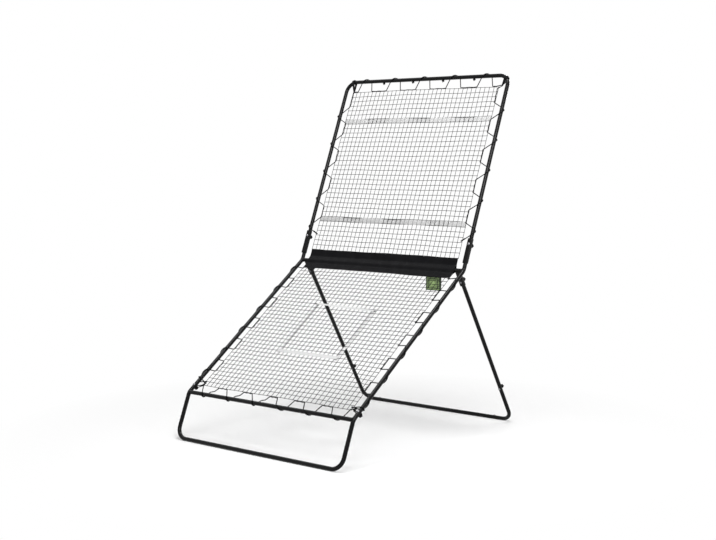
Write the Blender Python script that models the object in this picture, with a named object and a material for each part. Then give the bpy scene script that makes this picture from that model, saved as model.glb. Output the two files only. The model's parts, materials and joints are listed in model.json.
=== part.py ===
"""A ball rebounder: two laced nets on a bent steel tube frame that stands on a rear leg frame.

The lower panel rises from the front foot to the fold, and the upper panel stands up behind it.
Lengths are in metres and slopes in degrees above the floor. X runs to the right as a player
sees it, Y runs away from the player and Z runs up from the floor. The origin lies on the floor,
half way between the front and the rear floor tube.

Each panel has its own empty at its lower end. In a panel's own axes Y runs up the slope and
Z points out of its front. The rear leg's empty sits at the fold, its Y runs down the leg and
its Z points backwards.
"""
import math

import bmesh
import bpy
import numpy as np
from mathutils import Matrix, Quaternion, Vector

# Layout, measured between tube centres
FRAME_WIDTH = 1.000
REAR_LEG_INSET = 0.0315
FRONT_LEG_LENGTH = 0.216
FRONT_LEG_SLOPE = 68.3
LOWER_LENGTH = 0.968
LOWER_SLOPE = 36.0
UPPER_LENGTH = 0.978
UPPER_SLOPE = 68.0
REAR_SLOPE = 59.0

# Steel tube and its bends, measured on the tube's centre line
TUBE_DIAMETER = 0.019
TUBE_WALL = 0.0012
TUBE_SIDES = 12
FRONT_FOOT_BEND = 0.055
REAR_FOOT_BEND = 0.055
KNEE_BEND = 0.045
FOLD_BEND = 0.045
TOP_BEND = 0.055
BEND_STEPS = 5
GAP = 0.0003

# Plug joints: a swaged spigot that slides into the next tube
SPIGOT_LENGTH = 0.048
SWAGE_LENGTH = 0.004
BOLT_FROM_SEAM = 0.022
KNEE_SEAM_FROM_BEND = 0.008
FOOT_SEAM_FROM_BEND = 0.124
REAR_CORNER_RUN = 0.1255

# Sheet steel brackets, folded to a channel that is open at the back
SHEET = 0.0016
CHANNEL_DEPTH = 0.0165
CHANNEL_FOLD = 0.0022
FOLD_BRACKET_FROM_BEND = 0.023
FOLD_BRACKET_LENGTH = 0.119
STUB_IN_BRACKET = 0.050
UPPER_TUBE_GAP = 0.002
FOLD_BOLT_FROM_END = 0.028
LEG_BRACKET_LENGTH = 0.083
LEG_BOLT_FROM_END = 0.023
LEG_TOP_GAP = 0.003

# Dome head bolts and their hand knobs
BOLT_DIAMETER = 0.006
BOLT_HEAD_DIAMETER = 0.012
BOLT_HEAD_HEIGHT = 0.0032
BOLT_IN_KNOB = 0.007
HOLE_CLEARANCE = 0.0003
KNOB_DIAMETER = 0.020
KNOB_HEIGHT = 0.012
KNOB_HUB_DIAMETER = 0.0125
KNOB_HUB_HEIGHT = 0.0028
KNOB_TOP_CHAMFER = 0.0016
KNOB_LOBES = 5
KNOB_SCALLOP = 0.0014
KNOB_BORE_END = 0.0015
RIVET_DIAMETER = 0.005
RIVET_HEAD_DIAMETER = 0.0125
RIVET_HEAD_HEIGHT = 0.003

# Nets, their tapes and the sleeve over the fold tube
SIDE_MARGIN = 0.054
TOP_MARGIN = 0.058
KNEE_MARGIN = 0.053
NET_CELLS = 10
NET_STRAND = 0.0024
SLEEVE_MARGIN = 0.0475
SLEEVE_UP = 0.059
SLEEVE_DOWN = 0.054
SLEEVE_CLOTH = 0.0015
SLEEVE_FRONT = 0.0125
TAPE_WIDTH = 0.024
TAPE_THICKNESS = 0.0008
LOW_TAPE_FROM_FOLD = 0.227
HIGH_TAPE_FROM_TOP = 0.217
TARGET_WIDTH = 0.368
TARGET_FROM_KNEE = 0.320
TARGET_LENGTH = 0.347
TARGET_TAPE = 0.020
TAG_WIDTH = 0.080
TAG_HEIGHT = 0.065
TAG_THICKNESS = 0.0012
TAG_FROM_SLEEVE_END = 0.0505
TAG_FROM_EDGE = 0.006

# Elastic lacing cord
CORD_DIAMETER = 0.0045
CORD_SIDES = 6
WRAP_STEPS = 6
WRAP_START = 60.0
WRAP_ADVANCE = 0.040
LOWER_SIDE_ADVANCE = 0.064
CORNER_ADVANCE = 0.016
UPPER_SIDE_WRAPS = 5
UPPER_WRAP_FROM_FOLD = 0.187
UPPER_WRAP_FROM_TOP = 0.185
LOWER_SIDE_WRAPS = 6
LOWER_WRAP_FROM_KNEE = 0.1115
LOWER_WRAP_FROM_FOLD = 0.099
TOP_WRAPS = 5
TOP_WRAP_FROM_SIDE = 0.127
KNEE_WRAPS = 6
KNEE_WRAP_FROM_SIDE = 0.0965
UPPER_SIDE_RUN = 0.062
LOWER_SIDE_RUN = 0.0705
TOP_RUN = 0.096
KNEE_RUN = 0.056
CORD_END_RUN = 0.012

# Sizes that follow from those above
TUBE_R = TUBE_DIAMETER / 2
FLAT_R = TUBE_R * math.cos(math.pi / TUBE_SIDES)
BORE_R = TUBE_R - TUBE_WALL
SPIGOT_R = BORE_R * math.cos(math.pi / TUBE_SIDES) - GAP
CORD_R = CORD_DIAMETER / 2
BOLT_R = BOLT_DIAMETER / 2
HOLE_R = BOLT_R + HOLE_CLEARANCE
SIDE_X = FRAME_WIDTH / 2
REAR_X = SIDE_X - REAR_LEG_INSET
REAR_BAR_X = REAR_X - REAR_CORNER_RUN
SLEEVE_X = SIDE_X - SLEEVE_MARGIN
NET_X = SIDE_X - SIDE_MARGIN
UPPER_NET_TOP = UPPER_LENGTH - TOP_MARGIN
RUN_OFFSET = CORD_R + GAP
TAPE_Z = NET_STRAND / 2 + GAP
BRACKET_IN = TUBE_R + GAP
BRACKET_OUT = BRACKET_IN + SHEET
TUBE_SEAT = TUBE_R + GAP
BRACKET_SEAT = BRACKET_OUT + GAP


def up_slope(length, slope):
    """The step in Y and Z that a length makes up a slope."""
    angle = math.radians(slope)
    return Vector((0, length * math.cos(angle), length * math.sin(angle)))


def bend_reach(radius, turn):
    """How far a bend of that radius reaches along each of the straights that it joins."""
    return radius * math.tan(math.radians(turn) / 2)


KNEE_TURN = FRONT_LEG_SLOPE - LOWER_SLOPE
FOLD_TURN = UPPER_SLOPE - LOWER_SLOPE
RISE = up_slope(FRONT_LEG_LENGTH, FRONT_LEG_SLOPE) + up_slope(LOWER_LENGTH, LOWER_SLOPE)
REAR_LENGTH = RISE.z / math.sin(math.radians(REAR_SLOPE))
FOOT_SPREAD = RISE.y + REAR_LENGTH * math.cos(math.radians(REAR_SLOPE))
FRONT = Vector((0, -FOOT_SPREAD / 2, FLAT_R))
KNEE = FRONT + up_slope(FRONT_LEG_LENGTH, FRONT_LEG_SLOPE)
FOLD = FRONT + RISE
KNEE_SEAM = bend_reach(KNEE_BEND, KNEE_TURN) + KNEE_SEAM_FROM_BEND
KNEE_BOLT = KNEE_SEAM + BOLT_FROM_SEAM
FOOT_SEAM = REAR_LENGTH - bend_reach(REAR_FOOT_BEND, 90) - FOOT_SEAM_FROM_BEND
FOOT_BOLT = FOOT_SEAM - BOLT_FROM_SEAM
FOLD_BRACKET = bend_reach(FOLD_BEND, FOLD_TURN) + FOLD_BRACKET_FROM_BEND
FOLD_BRACKET_END = FOLD_BRACKET + FOLD_BRACKET_LENGTH
FOLD_BOLT = FOLD_BRACKET_END - FOLD_BOLT_FROM_END
STUB_END = FOLD_BRACKET + STUB_IN_BRACKET
LEG_BOLT = LEG_BRACKET_LENGTH - LEG_BOLT_FROM_END
RIVET_X = REAR_BAR_X + SPIGOT_LENGTH / 2


def clear_scene():
    """Remove every object that the file opened with."""
    for found in list(bpy.data.objects):
        bpy.data.objects.remove(found)


def material(name, colour, roughness, metallic):
    """A Principled material of one colour."""
    made = bpy.data.materials.new(name)
    made.use_nodes = True
    shader = made.node_tree.nodes["Principled BSDF"]
    shader.inputs["Base Color"].default_value = (*colour, 1)
    shader.inputs["Roughness"].default_value = roughness
    shader.inputs["Metallic"].default_value = metallic
    return made


def empty(name, location, slope):
    """An empty whose own Y runs along a slope, as the parent of what is built there."""
    made = bpy.data.objects.new(name, None)
    made.location = location
    made.rotation_euler = (math.radians(slope), 0, 0)
    bpy.context.collection.objects.link(made)
    return made


def add(name, mesh, finish, parent=None, crease=40):
    """Put a mesh into the scene as one named object."""
    mesh.materials.append(finish)
    mesh.shade_smooth()
    mesh.set_sharp_from_angle(angle=math.radians(crease))
    made = bpy.data.objects.new(name, mesh)
    made.parent = parent
    bpy.context.collection.objects.link(made)
    return made


def loft(name, rings, closed=False):
    """A closed body through rings of equally many points.

    Its first and last ring are filled, or with closed set they are joined to each other, as
    where a tube's bore runs back inside its outer wall.
    """
    count = len(rings[0])
    shape = bmesh.new()
    for ring in rings:
        for point in ring:
            shape.verts.new(point)
    shape.verts.ensure_lookup_table()
    bands = len(rings) if closed else len(rings) - 1
    for band in range(bands):
        low = band * count
        high = (band + 1) % len(rings) * count
        for i in range(count):
            j = (i + 1) % count
            corners = (low + i, low + j, high + j, high + i)
            shape.faces.new([shape.verts[k] for k in corners])
    if not closed:
        shape.faces.new([shape.verts[k] for k in reversed(range(count))])
        shape.faces.new(shape.verts[-count:])
    bmesh.ops.recalc_face_normals(shape, faces=shape.faces)
    mesh = bpy.data.meshes.new(name)
    shape.to_mesh(mesh)
    shape.free()
    return mesh


def rounded(corners, radii):
    """A path of straight runs whose corners are arcs of the given radii."""
    path = [corners[0]]
    for before, corner, after, radius in zip(corners, corners[1:], corners[2:], radii):
        into = (corner - before).normalized()
        out = (after - corner).normalized()
        turn = into.angle(out)
        axis = into.cross(out).normalized()
        start = corner - into * radius * math.tan(turn / 2)
        centre = start + axis.cross(into) * radius
        for step in range(BEND_STEPS + 1):
            spin = Matrix.Rotation(turn * step / BEND_STEPS, 3, axis)
            path.append(centre + spin @ (start - centre))
    path.append(corners[-1])
    return path


def crossings(path, facing=None, at=0):
    """Each point's tangent and one direction across it, carried along without twist.

    With facing given, the direction across the path at the numbered point is turned to it.
    """
    steps = [(b - a).normalized() for a, b in zip(path, path[1:])]
    tangents = [(a + b).normalized() for a, b in zip(steps[:1] + steps, steps + steps[-1:])]
    across = [tangents[0].orthogonal().normalized()]
    for last, tangent in zip(tangents, tangents[1:]):
        across.append((last.rotation_difference(tangent) @ across[-1]).normalized())
    if facing is None:
        return tangents, across
    tangent = tangents[at]
    aim = (facing - tangent * facing.dot(tangent)).normalized()
    turn = math.atan2(tangent.dot(across[at].cross(aim)), across[at].dot(aim))
    turned = [Quaternion(t, turn) @ side for t, side in zip(tangents, across)]
    return tangents, turned


def rings_along(path, radii, sides, facing=None, at=0):
    """Rings of a round section along a path, with a flat between two points facing as asked."""
    rings = []
    for point, radius, tangent, side in zip(path, radii, *crossings(path, facing, at)):
        other = tangent.cross(side)
        ring = []
        for k in range(sides):
            angle = (k + 0.5) * 2 * math.pi / sides
            ring.append(point + radius * (math.cos(angle) * side + math.sin(angle) * other))
        rings.append(ring)
    return rings


def tube(name, path, radii, finish, parent=None, facing=None, at=0):
    """A steel tube with its bore, open at both ends."""
    outer = rings_along(path, radii, TUBE_SIDES, facing, at)
    bores = [radius - TUBE_WALL for radius in radii]
    inner = rings_along(path, bores, TUBE_SIDES, facing, at)
    return add(name, loft(name, outer + inner[::-1], closed=True), finish, parent)


def as_cutter(cutter):
    """Mark an object as a tool that only cuts others."""
    cutter.hide_render = True
    cutter.display_type = "WIRE"
    return cutter


def cut(target, cutter):
    """Take one object's volume out of another."""
    boolean = target.modifiers.new("cut " + cutter.name, "BOOLEAN")
    boolean.operation = "DIFFERENCE"
    boolean.solver = "EXACT"
    boolean.object = cutter


def fat_tube(name, path, finish, parent=None, facing=None, at=0):
    """A tube's outline with the gap round it, to shape what is welded against it."""
    radii = [TUBE_R + GAP] * len(path)
    mesh = loft(name, rings_along(path, radii, TUBE_SIDES, facing, at))
    return as_cutter(add(name, mesh, finish, parent))


def drill(name, finish, parent, x, y, radius, low, high, targets):
    """Bore a round hole along Z through each target, between two depths."""
    path = [Vector((x, y, low)), Vector((x, y, high))]
    mesh = loft(name, rings_along(path, [radius] * 2, TUBE_SIDES))
    cutter = as_cutter(add(name, mesh, finish, parent))
    for target in targets:
        cut(target, cutter)


def slab(name, low, high, finish, parent):
    """A flat box between two corners."""
    ring = [(low.x, low.y), (high.x, low.y), (high.x, high.y), (low.x, high.y)]
    rings = [[Vector((x, y, z)) for x, y in ring] for z in (low.z, high.z)]
    return add(name, loft(name, rings), finish, parent)


def lattice(name, xs, ys, filled, thickness, z, finish, parent):
    """A flat sheet cut into a lattice: the cells that are filled, given a thickness round z."""
    sheet = bmesh.new()
    corners = [[sheet.verts.new((x, y, z)) for x in xs] for y in ys]
    for j in range(len(ys) - 1):
        for i in range(len(xs) - 1):
            if filled(i, j):
                low = corners[j]
                high = corners[j + 1]
                sheet.faces.new((low[i], low[i + 1], high[i + 1], high[i]))
    mesh = bpy.data.meshes.new(name)
    sheet.to_mesh(mesh)
    sheet.free()
    made = add(name, mesh, finish, parent)
    solid = made.modifiers.new("thickness", "SOLIDIFY")
    solid.thickness = thickness
    solid.offset = 0
    return made


def strand_edges(low, high):
    """Both edges of each strand across a net, from its first strand to its last."""
    edges = []
    for k in range(NET_CELLS + 1):
        start = low + (high - low - NET_STRAND) * k / NET_CELLS
        edges += [start, start + NET_STRAND]
    return edges


def net(name, low, high, finish, parent):
    """A knotted net as flat strands both ways, with every second cell of its lattice open."""
    xs = strand_edges(-NET_X, NET_X)
    ys = strand_edges(low, high)
    return lattice(name, xs, ys, lambda i, j: i % 2 == 0 or j % 2 == 0, NET_STRAND, 0, finish, parent)


def front_foot(finish):
    """The tube that stands on the floor in front: a bar, two legs, two knees, two spigots."""
    foot = []
    for side in (-1, 1):
        across = Vector((side * SIDE_X, 0, 0))
        spigot_end = KNEE + up_slope(KNEE_SEAM + SPIGOT_LENGTH, LOWER_SLOPE)
        foot.append([spigot_end + across, KNEE + across, FRONT + across])
    corners = foot[0] + foot[1][::-1]
    path = rounded(corners, (KNEE_BEND, FRONT_FOOT_BEND, FRONT_FOOT_BEND, KNEE_BEND))
    radii = [TUBE_R] * len(path)
    for order, side in ((1, -1), (-1, 1)):
        across = Vector((side * SIDE_X, 0, 0))
        seam = KNEE + up_slope(KNEE_SEAM, LOWER_SLOPE) + across
        shoulder = KNEE + up_slope(KNEE_SEAM - SWAGE_LENGTH, LOWER_SLOPE) + across
        path = path[:1] + [seam, shoulder] + path[1:]
        radii = [SPIGOT_R, SPIGOT_R, TUBE_R] + radii[1:]
        path.reverse()
        radii.reverse()
    middle = len(path) // 2
    down = Vector((0, 0, -1))
    return tube("front_foot", path, radii, finish, facing=down, at=middle), path, middle


def side_path(side):
    """A side tube's centre line, from its seam above the knee round the fold to its stub."""
    across = Vector((side * SIDE_X, 0, 0))
    low = KNEE + up_slope(KNEE_SEAM + GAP, LOWER_SLOPE) + across
    high = FOLD + up_slope(STUB_END, UPPER_SLOPE) + across
    return rounded([low, FOLD + across, high], (FOLD_BEND,))


def welded_bar(name, centre, length, cutters, finish):
    """A straight tube across the frame, cut to the outline of the tubes that it is welded to."""
    ends = [centre + Vector((side * length / 2, 0, 0)) for side in (-1, 1)]
    bar = tube(name, ends, [TUBE_R] * 2, finish, facing=Vector((0, 0, -1)))
    for cutter in cutters:
        cut(bar, cutter)
    return bar


def channel(name, x, start, end, base_side, finish, parent):
    """A bracket folded from sheet to a channel round a tube, its base on the named side in Z."""
    fold = CHANNEL_FOLD
    outline = [(-BRACKET_OUT, BRACKET_OUT - CHANNEL_DEPTH)]
    for centre, first in ((-1, 180), (1, 90)):
        for step in range(3):
            angle = math.radians(first - 45 * step)
            outline.append((
                centre * (BRACKET_OUT - fold) + fold * math.cos(angle),
                BRACKET_OUT - fold + fold * math.sin(angle),
            ))
    outline.append((BRACKET_OUT, BRACKET_OUT - CHANNEL_DEPTH))
    outline.append((BRACKET_IN, BRACKET_OUT - CHANNEL_DEPTH))
    outline.append((BRACKET_IN, BRACKET_IN))
    outline.append((-BRACKET_IN, BRACKET_IN))
    outline.append((-BRACKET_IN, BRACKET_OUT - CHANNEL_DEPTH))
    rings = [[Vector((x + a, y, base_side * b)) for a, b in outline] for y in (start, end)]
    return add(name, loft(name, rings), finish, parent)


def turned(name, profile, sides):
    """A turned body from (height, radius) pairs up its Z axis, filled at both ends."""
    path = [Vector((0, 0, height)) for height, _ in profile]
    rings = []
    for point, (_, radius) in zip(path, profile):
        angles = [2 * math.pi * k / sides for k in range(sides)]
        rings.append([point + radius * Vector((math.cos(a), math.sin(a), 0)) for a in angles])
    return loft(name, rings)


def dome(seat, radius, height):
    """The (height, radius) pairs of a low dome on its seat."""
    rise = ((0, 1), (0.35, 0.95), (0.75, 0.7), (1, 0.25))
    return [(seat + height * up, radius * out) for up, out in rise]


def bolt(name, x, y, front, head_seat, knob_seat, finish, parent):
    """A dome head bolt along Z, its head in front of the tube and its end in the knob."""
    tip = -knob_seat - BOLT_IN_KNOB
    profile = [(tip, BOLT_R), (head_seat, BOLT_R)]
    profile += dome(head_seat, BOLT_HEAD_DIAMETER / 2, BOLT_HEAD_HEIGHT)
    made = add(name, turned(name, profile, 10), finish, parent)
    made.location = (x, y, 0)
    made.rotation_euler = (0 if front > 0 else math.pi, 0, 0)
    return made


def knob(name, x, y, front, seat, finish, parent):
    """A hand knob with scalloped sides, turning on its bolt behind the tube."""
    count = KNOB_LOBES * 4
    outer = KNOB_DIAMETER / 2
    bore = (BOLT_IN_KNOB + KNOB_BORE_END, HOLE_R)
    levels = [
        (*bore, 0), (0, HOLE_R, 0), (0, KNOB_HUB_DIAMETER / 2, 0),
        (KNOB_HUB_HEIGHT, KNOB_HUB_DIAMETER / 2, 0), (KNOB_HUB_HEIGHT, outer, 1),
        (KNOB_HEIGHT - KNOB_TOP_CHAMFER, outer, 1), (KNOB_HEIGHT, outer - KNOB_TOP_CHAMFER, 0.8),
    ]
    rings = []
    for height, radius, depth in levels:
        ring = []
        for k in range(count):
            angle = 2 * math.pi * k / count
            dip = depth * KNOB_SCALLOP * (1 - math.cos(KNOB_LOBES * angle)) / 2
            ring.append(Vector(((radius - dip) * math.cos(angle), (radius - dip) * math.sin(angle), height)))
        rings.append(ring)
    made = add(name, loft(name, rings), finish, parent)
    made.location = (x, y, -front * seat)
    made.rotation_euler = (math.pi if front > 0 else 0, 0, 0)
    return made


def bolted(place, side_name, x, y, front, head_seat, targets, finishes, parent):
    """A bolt through the targets with its knob, and the hole that it passes through."""
    steel, black = finishes
    reach = BRACKET_OUT + GAP
    drill(f"{place}_{side_name}_hole", steel, parent, x, y, HOLE_R, -reach, reach, targets)
    bolt(f"{place}_bolt_{side_name}", x, y, front, head_seat, TUBE_SEAT, steel, parent)
    knob(f"{place}_knob_{side_name}", x, y, front, TUBE_SEAT, black, parent)


def leg_axis_path(start, end, x):
    """A straight path down the rear leg, in the leg's own axes."""
    return [Vector((x, start, 0)), Vector((x, end, 0))]


def rear_corner(name, side, finish, parent):
    """The bent tube at a rear floor corner: a spigot up, the bend, and a run along the floor."""
    x = side * REAR_X
    top = FOOT_SEAM - SPIGOT_LENGTH
    end = Vector((side * (REAR_BAR_X + GAP), REAR_LENGTH, 0))
    path = rounded([Vector((x, top, 0)), Vector((x, REAR_LENGTH, 0)), end], (REAR_FOOT_BEND,))
    seam = Vector((x, FOOT_SEAM, 0))
    shoulder = Vector((x, FOOT_SEAM + SWAGE_LENGTH, 0))
    path = path[:1] + [seam, shoulder] + path[1:]
    radii = [SPIGOT_R, SPIGOT_R] + [TUBE_R] * (len(path) - 2)
    return tube(name, path, radii, finish, parent, down_in(parent), len(path) - 1)


def down_in(parent):
    """The direction of the floor in a parent's own axes."""
    return Matrix.Rotation(-parent.rotation_euler.x, 3, "X") @ Vector((0, 0, -1))


def rear_bar(finish, parent):
    """The middle of the rear floor tube, with a spigot in each corner tube."""
    half = REAR_BAR_X
    stations = [
        (-half - SPIGOT_LENGTH, SPIGOT_R), (-half, SPIGOT_R), (-half + SWAGE_LENGTH, TUBE_R),
        (half - SWAGE_LENGTH, TUBE_R), (half, SPIGOT_R), (half + SPIGOT_LENGTH, SPIGOT_R),
    ]
    path = [Vector((x, REAR_LENGTH, 0)) for x, _ in stations]
    radii = [radius for _, radius in stations]
    return tube("rear_bar", path, radii, finish, parent, down_in(parent), 2)


def rivet(name, side, targets, finish, parent):
    """The dome head rivet on top of the rear floor tube, through both of the joined tubes."""
    x = side * RIVET_X
    place = Matrix.Translation((x, REAR_LENGTH, 0)) @ parent_up(parent)
    path = [Vector((0, 0, 0)), Vector((0, 0, TUBE_SEAT))]
    mesh = loft(name + "_hole", rings_along(path, [RIVET_DIAMETER / 2 + HOLE_CLEARANCE] * 2, 10))
    hole = as_cutter(add(name + "_hole", mesh, finish, parent))
    hole.matrix_local = place
    for target in targets:
        cut(target, hole)
    shank = RIVET_DIAMETER / 2
    inside = SPIGOT_R - TUBE_WALL - SHEET
    profile = [(inside, shank), (TUBE_SEAT, shank)]
    profile += dome(TUBE_SEAT, RIVET_HEAD_DIAMETER / 2, RIVET_HEAD_HEIGHT)
    made = add(name, turned(name, profile, 10), finish, parent)
    made.matrix_local = place
    return made


def parent_up(parent):
    """The turn that sets an object's Z upright within a tilted parent."""
    return Matrix.Rotation(-parent.rotation_euler.x, 4, "X")


def sleeve(finish):
    """The cloth sleeve round the fold tube, with a flap down and a flap up that hold the nets."""
    up = up_slope(1, UPPER_SLOPE)
    down = -up_slope(1, LOWER_SLOPE)
    up_front = Vector((0, -up.z, up.y))
    down_front = Vector((0, down.z, -down.y))
    half = SLEEVE_CLOTH
    snug = TUBE_R + GAP
    tip_up = up * SLEEVE_UP
    tip_down = down * SLEEVE_DOWN
    middle = (up_front + down_front).normalized()
    outline = [
        tip_up + up_front * half, middle * SLEEVE_FRONT, tip_down + down_front * half,
        tip_down - down_front * half,
    ]
    back = snug + SLEEVE_CLOTH
    for step in range(5):
        blend = down_front.lerp(up_front, step / 4).normalized()
        outline.append(-blend * back)
    outline.append(tip_up - up_front * half)
    dense = []
    for here, there in zip(outline, outline[1:] + outline[:1]):
        pieces = max(1, math.ceil(math.degrees(here.angle(there)) / 12))
        dense += [here.lerp(there, k / pieces) for k in range(pieces)]
    bore = snug / math.cos(math.radians(12))
    shell = []
    for reach, points in ((-1, dense), (1, dense), (1, None), (-1, None)):
        across = Vector((reach * SLEEVE_X, 0, 0))
        if points is None:
            points = [point.normalized() * bore for point in dense]
        shell.append([FOLD + point + across for point in points])
    return add("fold_sleeve", loft("fold_sleeve", shell, closed=True), finish, crease=25)


def tag(finish):
    """The cloth tag that hangs straight down from the sleeve's lower edge, behind the net."""
    edge = FOLD - up_slope(SLEEVE_DOWN - TAG_FROM_EDGE, LOWER_SLOPE)
    drop = (SLEEVE_CLOTH + GAP) / math.cos(math.radians(LOWER_SLOPE)) + TAG_THICKNESS
    outer = SLEEVE_X - TAG_FROM_SLEEVE_END
    low = Vector((outer - TAG_WIDTH, edge.y, edge.z - drop - TAG_HEIGHT))
    high = Vector((outer, edge.y + TAG_THICKNESS, edge.z - drop))
    return slab("care_tag", low, high, finish, None)


def tape(name, height, finish, parent):
    """A woven tape across the upper net, on its front."""
    half = NET_X - CORD_R / 2
    low = Vector((-half, height - TAPE_WIDTH / 2, TAPE_Z))
    high = Vector((half, height + TAPE_WIDTH / 2, TAPE_Z + TAPE_THICKNESS))
    return slab(name, low, high, finish, parent)


def target(finish, parent):
    """The tape rectangle on the lower net that a player aims at."""
    out = TARGET_WIDTH / 2
    xs = (-out, -out + TARGET_TAPE, out - TARGET_TAPE, out)
    high = TARGET_FROM_KNEE + TARGET_LENGTH
    ys = (TARGET_FROM_KNEE, TARGET_FROM_KNEE + TARGET_TAPE, high - TARGET_TAPE, high)
    z = TAPE_Z + TAPE_THICKNESS / 2
    return lattice("target_tape", xs, ys, lambda i, j: (i, j) != (1, 1), TAPE_THICKNESS, z, finish, parent)


def wrap(centre, along, inward, first, advance):
    """One turn of the cord round a tube, from the tube's net side and back to it.

    The cord moves along the tube as it goes round, and first is 1 where it passes the front
    of the tube before the back.
    """
    step_angle = (360 - 2 * WRAP_START) / WRAP_STEPS
    reach = (TUBE_R + CORD_R + GAP) / math.cos(math.radians(step_angle / 2))
    points = []
    for step in range(WRAP_STEPS + 1):
        angle = math.radians(WRAP_START + step_angle * step)
        around = math.cos(angle) * inward + math.sin(angle) * first * Vector((0, 0, 1))
        points.append(centre + reach * around + along * advance * (step / WRAP_STEPS - 0.5))
    return points


def laced(centres, along, inward, edge, run, first=1, advance=WRAP_ADVANCE):
    """Wraps along one tube with a straight run at the net's edge between each two.

    The edge is how far the cord's run lies from the tube's centre line.
    """
    points = []
    for here, there in zip(centres, centres[1:] + [None]):
        points += wrap(here, along, inward, first, advance)
        if there is not None:
            middle = (here + there) / 2 + inward * edge
            points += [middle - along * run / 2, middle + along * run / 2]
    return points


def spaced(first, last, count):
    """Evenly spaced places from the first to the last, and their pitch."""
    pitch = (last - first) / (count - 1)
    return [first + pitch * k for k in range(count)], pitch


def upper_lacing(finish, parent):
    """One cord that ties the upper net to its frame: up one side, across the top, and down."""
    edge = SIDE_MARGIN - RUN_OFFSET
    last = UPPER_LENGTH - UPPER_WRAP_FROM_TOP
    heights, pitch = spaced(UPPER_WRAP_FROM_FOLD, last, UPPER_SIDE_WRAPS)
    gap = (pitch - UPPER_SIDE_RUN) / 2
    bend = TOP_BEND * (1 - math.sqrt(0.5))
    half = []
    for side in (-1, 1):
        inward = Vector((-side, 0, 0))
        rail = [Vector((side * SIDE_X, height, 0)) for height in heights]
        net_edge = Vector((side * (SIDE_X - edge), 0, 0))
        low = [net_edge + Vector((0, heights[0] - gap - extra, 0)) for extra in (CORD_END_RUN, 0)]
        rising = low + laced(rail, Vector((0, 1, 0)), inward, edge, UPPER_SIDE_RUN)
        rising.append(net_edge + Vector((0, heights[-1] + gap, 0)))
        rising.append(net_edge + Vector((0, UPPER_NET_TOP - CORNER_ADVANCE, 0)))
        corner = Vector((side * (SIDE_X - bend), UPPER_LENGTH - bend, 0))
        diagonal = Vector((-side, 1, 0)).normalized()
        inner = Vector((-side, -1, 0)).normalized()
        rising += wrap(corner, diagonal, inner, 1, CORNER_ADVANCE)
        rising.append(Vector((side * NET_X, UPPER_NET_TOP + RUN_OFFSET, 0)))
        half.append(rising)
    outer = SIDE_X - TOP_WRAP_FROM_SIDE
    places, pitch = spaced(-outer, outer, TOP_WRAPS)
    rail = [Vector((x, UPPER_LENGTH, 0)) for x in places]
    depth = TOP_MARGIN - RUN_OFFSET
    top_gap = Vector(((pitch - TOP_RUN) / 2, depth, 0))
    top = [rail[0] - top_gap]
    top += laced(rail, Vector((1, 0, 0)), Vector((0, -1, 0)), depth, TOP_RUN)
    top.append(rail[-1] + Vector((top_gap.x, -depth, 0)))
    return cord("upper_lacing", half[0] + top + half[1][::-1], finish, parent)


def lower_lacing(finish, parent):
    """One cord that ties the lower net: down one side, along the knee tube, and up."""
    edge = SIDE_MARGIN - RUN_OFFSET
    last = LOWER_LENGTH - LOWER_WRAP_FROM_FOLD
    heights, pitch = spaced(LOWER_WRAP_FROM_KNEE, last, LOWER_SIDE_WRAPS)
    gap = (pitch - LOWER_SIDE_RUN) / 2
    half = []
    for side in (-1, 1):
        inward = Vector((-side, 0, 0))
        rail = [Vector((side * SIDE_X, height, 0)) for height in heights]
        net_edge = Vector((side * (SIDE_X - edge), 0, 0))
        rising = [net_edge + Vector((0, KNEE_MARGIN, 0)), net_edge + Vector((0, heights[0] - gap, 0))]
        rising += laced(rail, Vector((0, 1, 0)), inward, edge, LOWER_SIDE_RUN, -1, LOWER_SIDE_ADVANCE)
        high = LOWER_LENGTH - SLEEVE_DOWN - CORD_END_RUN
        rising += [net_edge + Vector((0, high + extra, 0)) for extra in (-CORD_END_RUN, 0)]
        half.append(rising)
    outer = SIDE_X - KNEE_WRAP_FROM_SIDE
    rail = [Vector((x, 0, 0)) for x in spaced(-outer, outer, KNEE_WRAPS)[0]]
    depth = KNEE_MARGIN - RUN_OFFSET
    bottom = laced(rail, Vector((1, 0, 0)), Vector((0, 1, 0)), depth, KNEE_RUN)
    return cord("lower_lacing", half[0][::-1] + bottom + half[1], finish, parent)


def least_gap(path):
    """The cord's least gap to itself, between places that lie over a turn's half apart along it."""
    step = CORD_DIAMETER / 2
    spots = []
    for a, b in zip(path, path[1:]):
        count = max(1, round((b - a).length / step))
        spots += [tuple(a.lerp(b, k / count)) for k in range(count)]
    spots = np.array(spots)
    rows = np.arange(len(spots))
    half_turn = math.pi * (TUBE_R + CORD_R)
    far = np.abs(rows[:, None] - rows) * step > half_turn
    apart = np.linalg.norm(spots[:, None] - spots, axis=2)
    return apart[far].min() - CORD_DIAMETER


def cord(name, path, finish, parent):
    """A round cord along its whole path, closed at both ends."""
    length = sum((b - a).length for a, b in zip(path, path[1:]))
    gap = least_gap(path) * 1000
    print(f"{name}: {length:.3f} m of cord in {len(path)} points, least gap to itself {gap:.1f} mm")
    rings = rings_along(path, [CORD_R] * len(path), CORD_SIDES)
    return add(name, loft(name, rings), finish, parent, crease=60)


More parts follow.
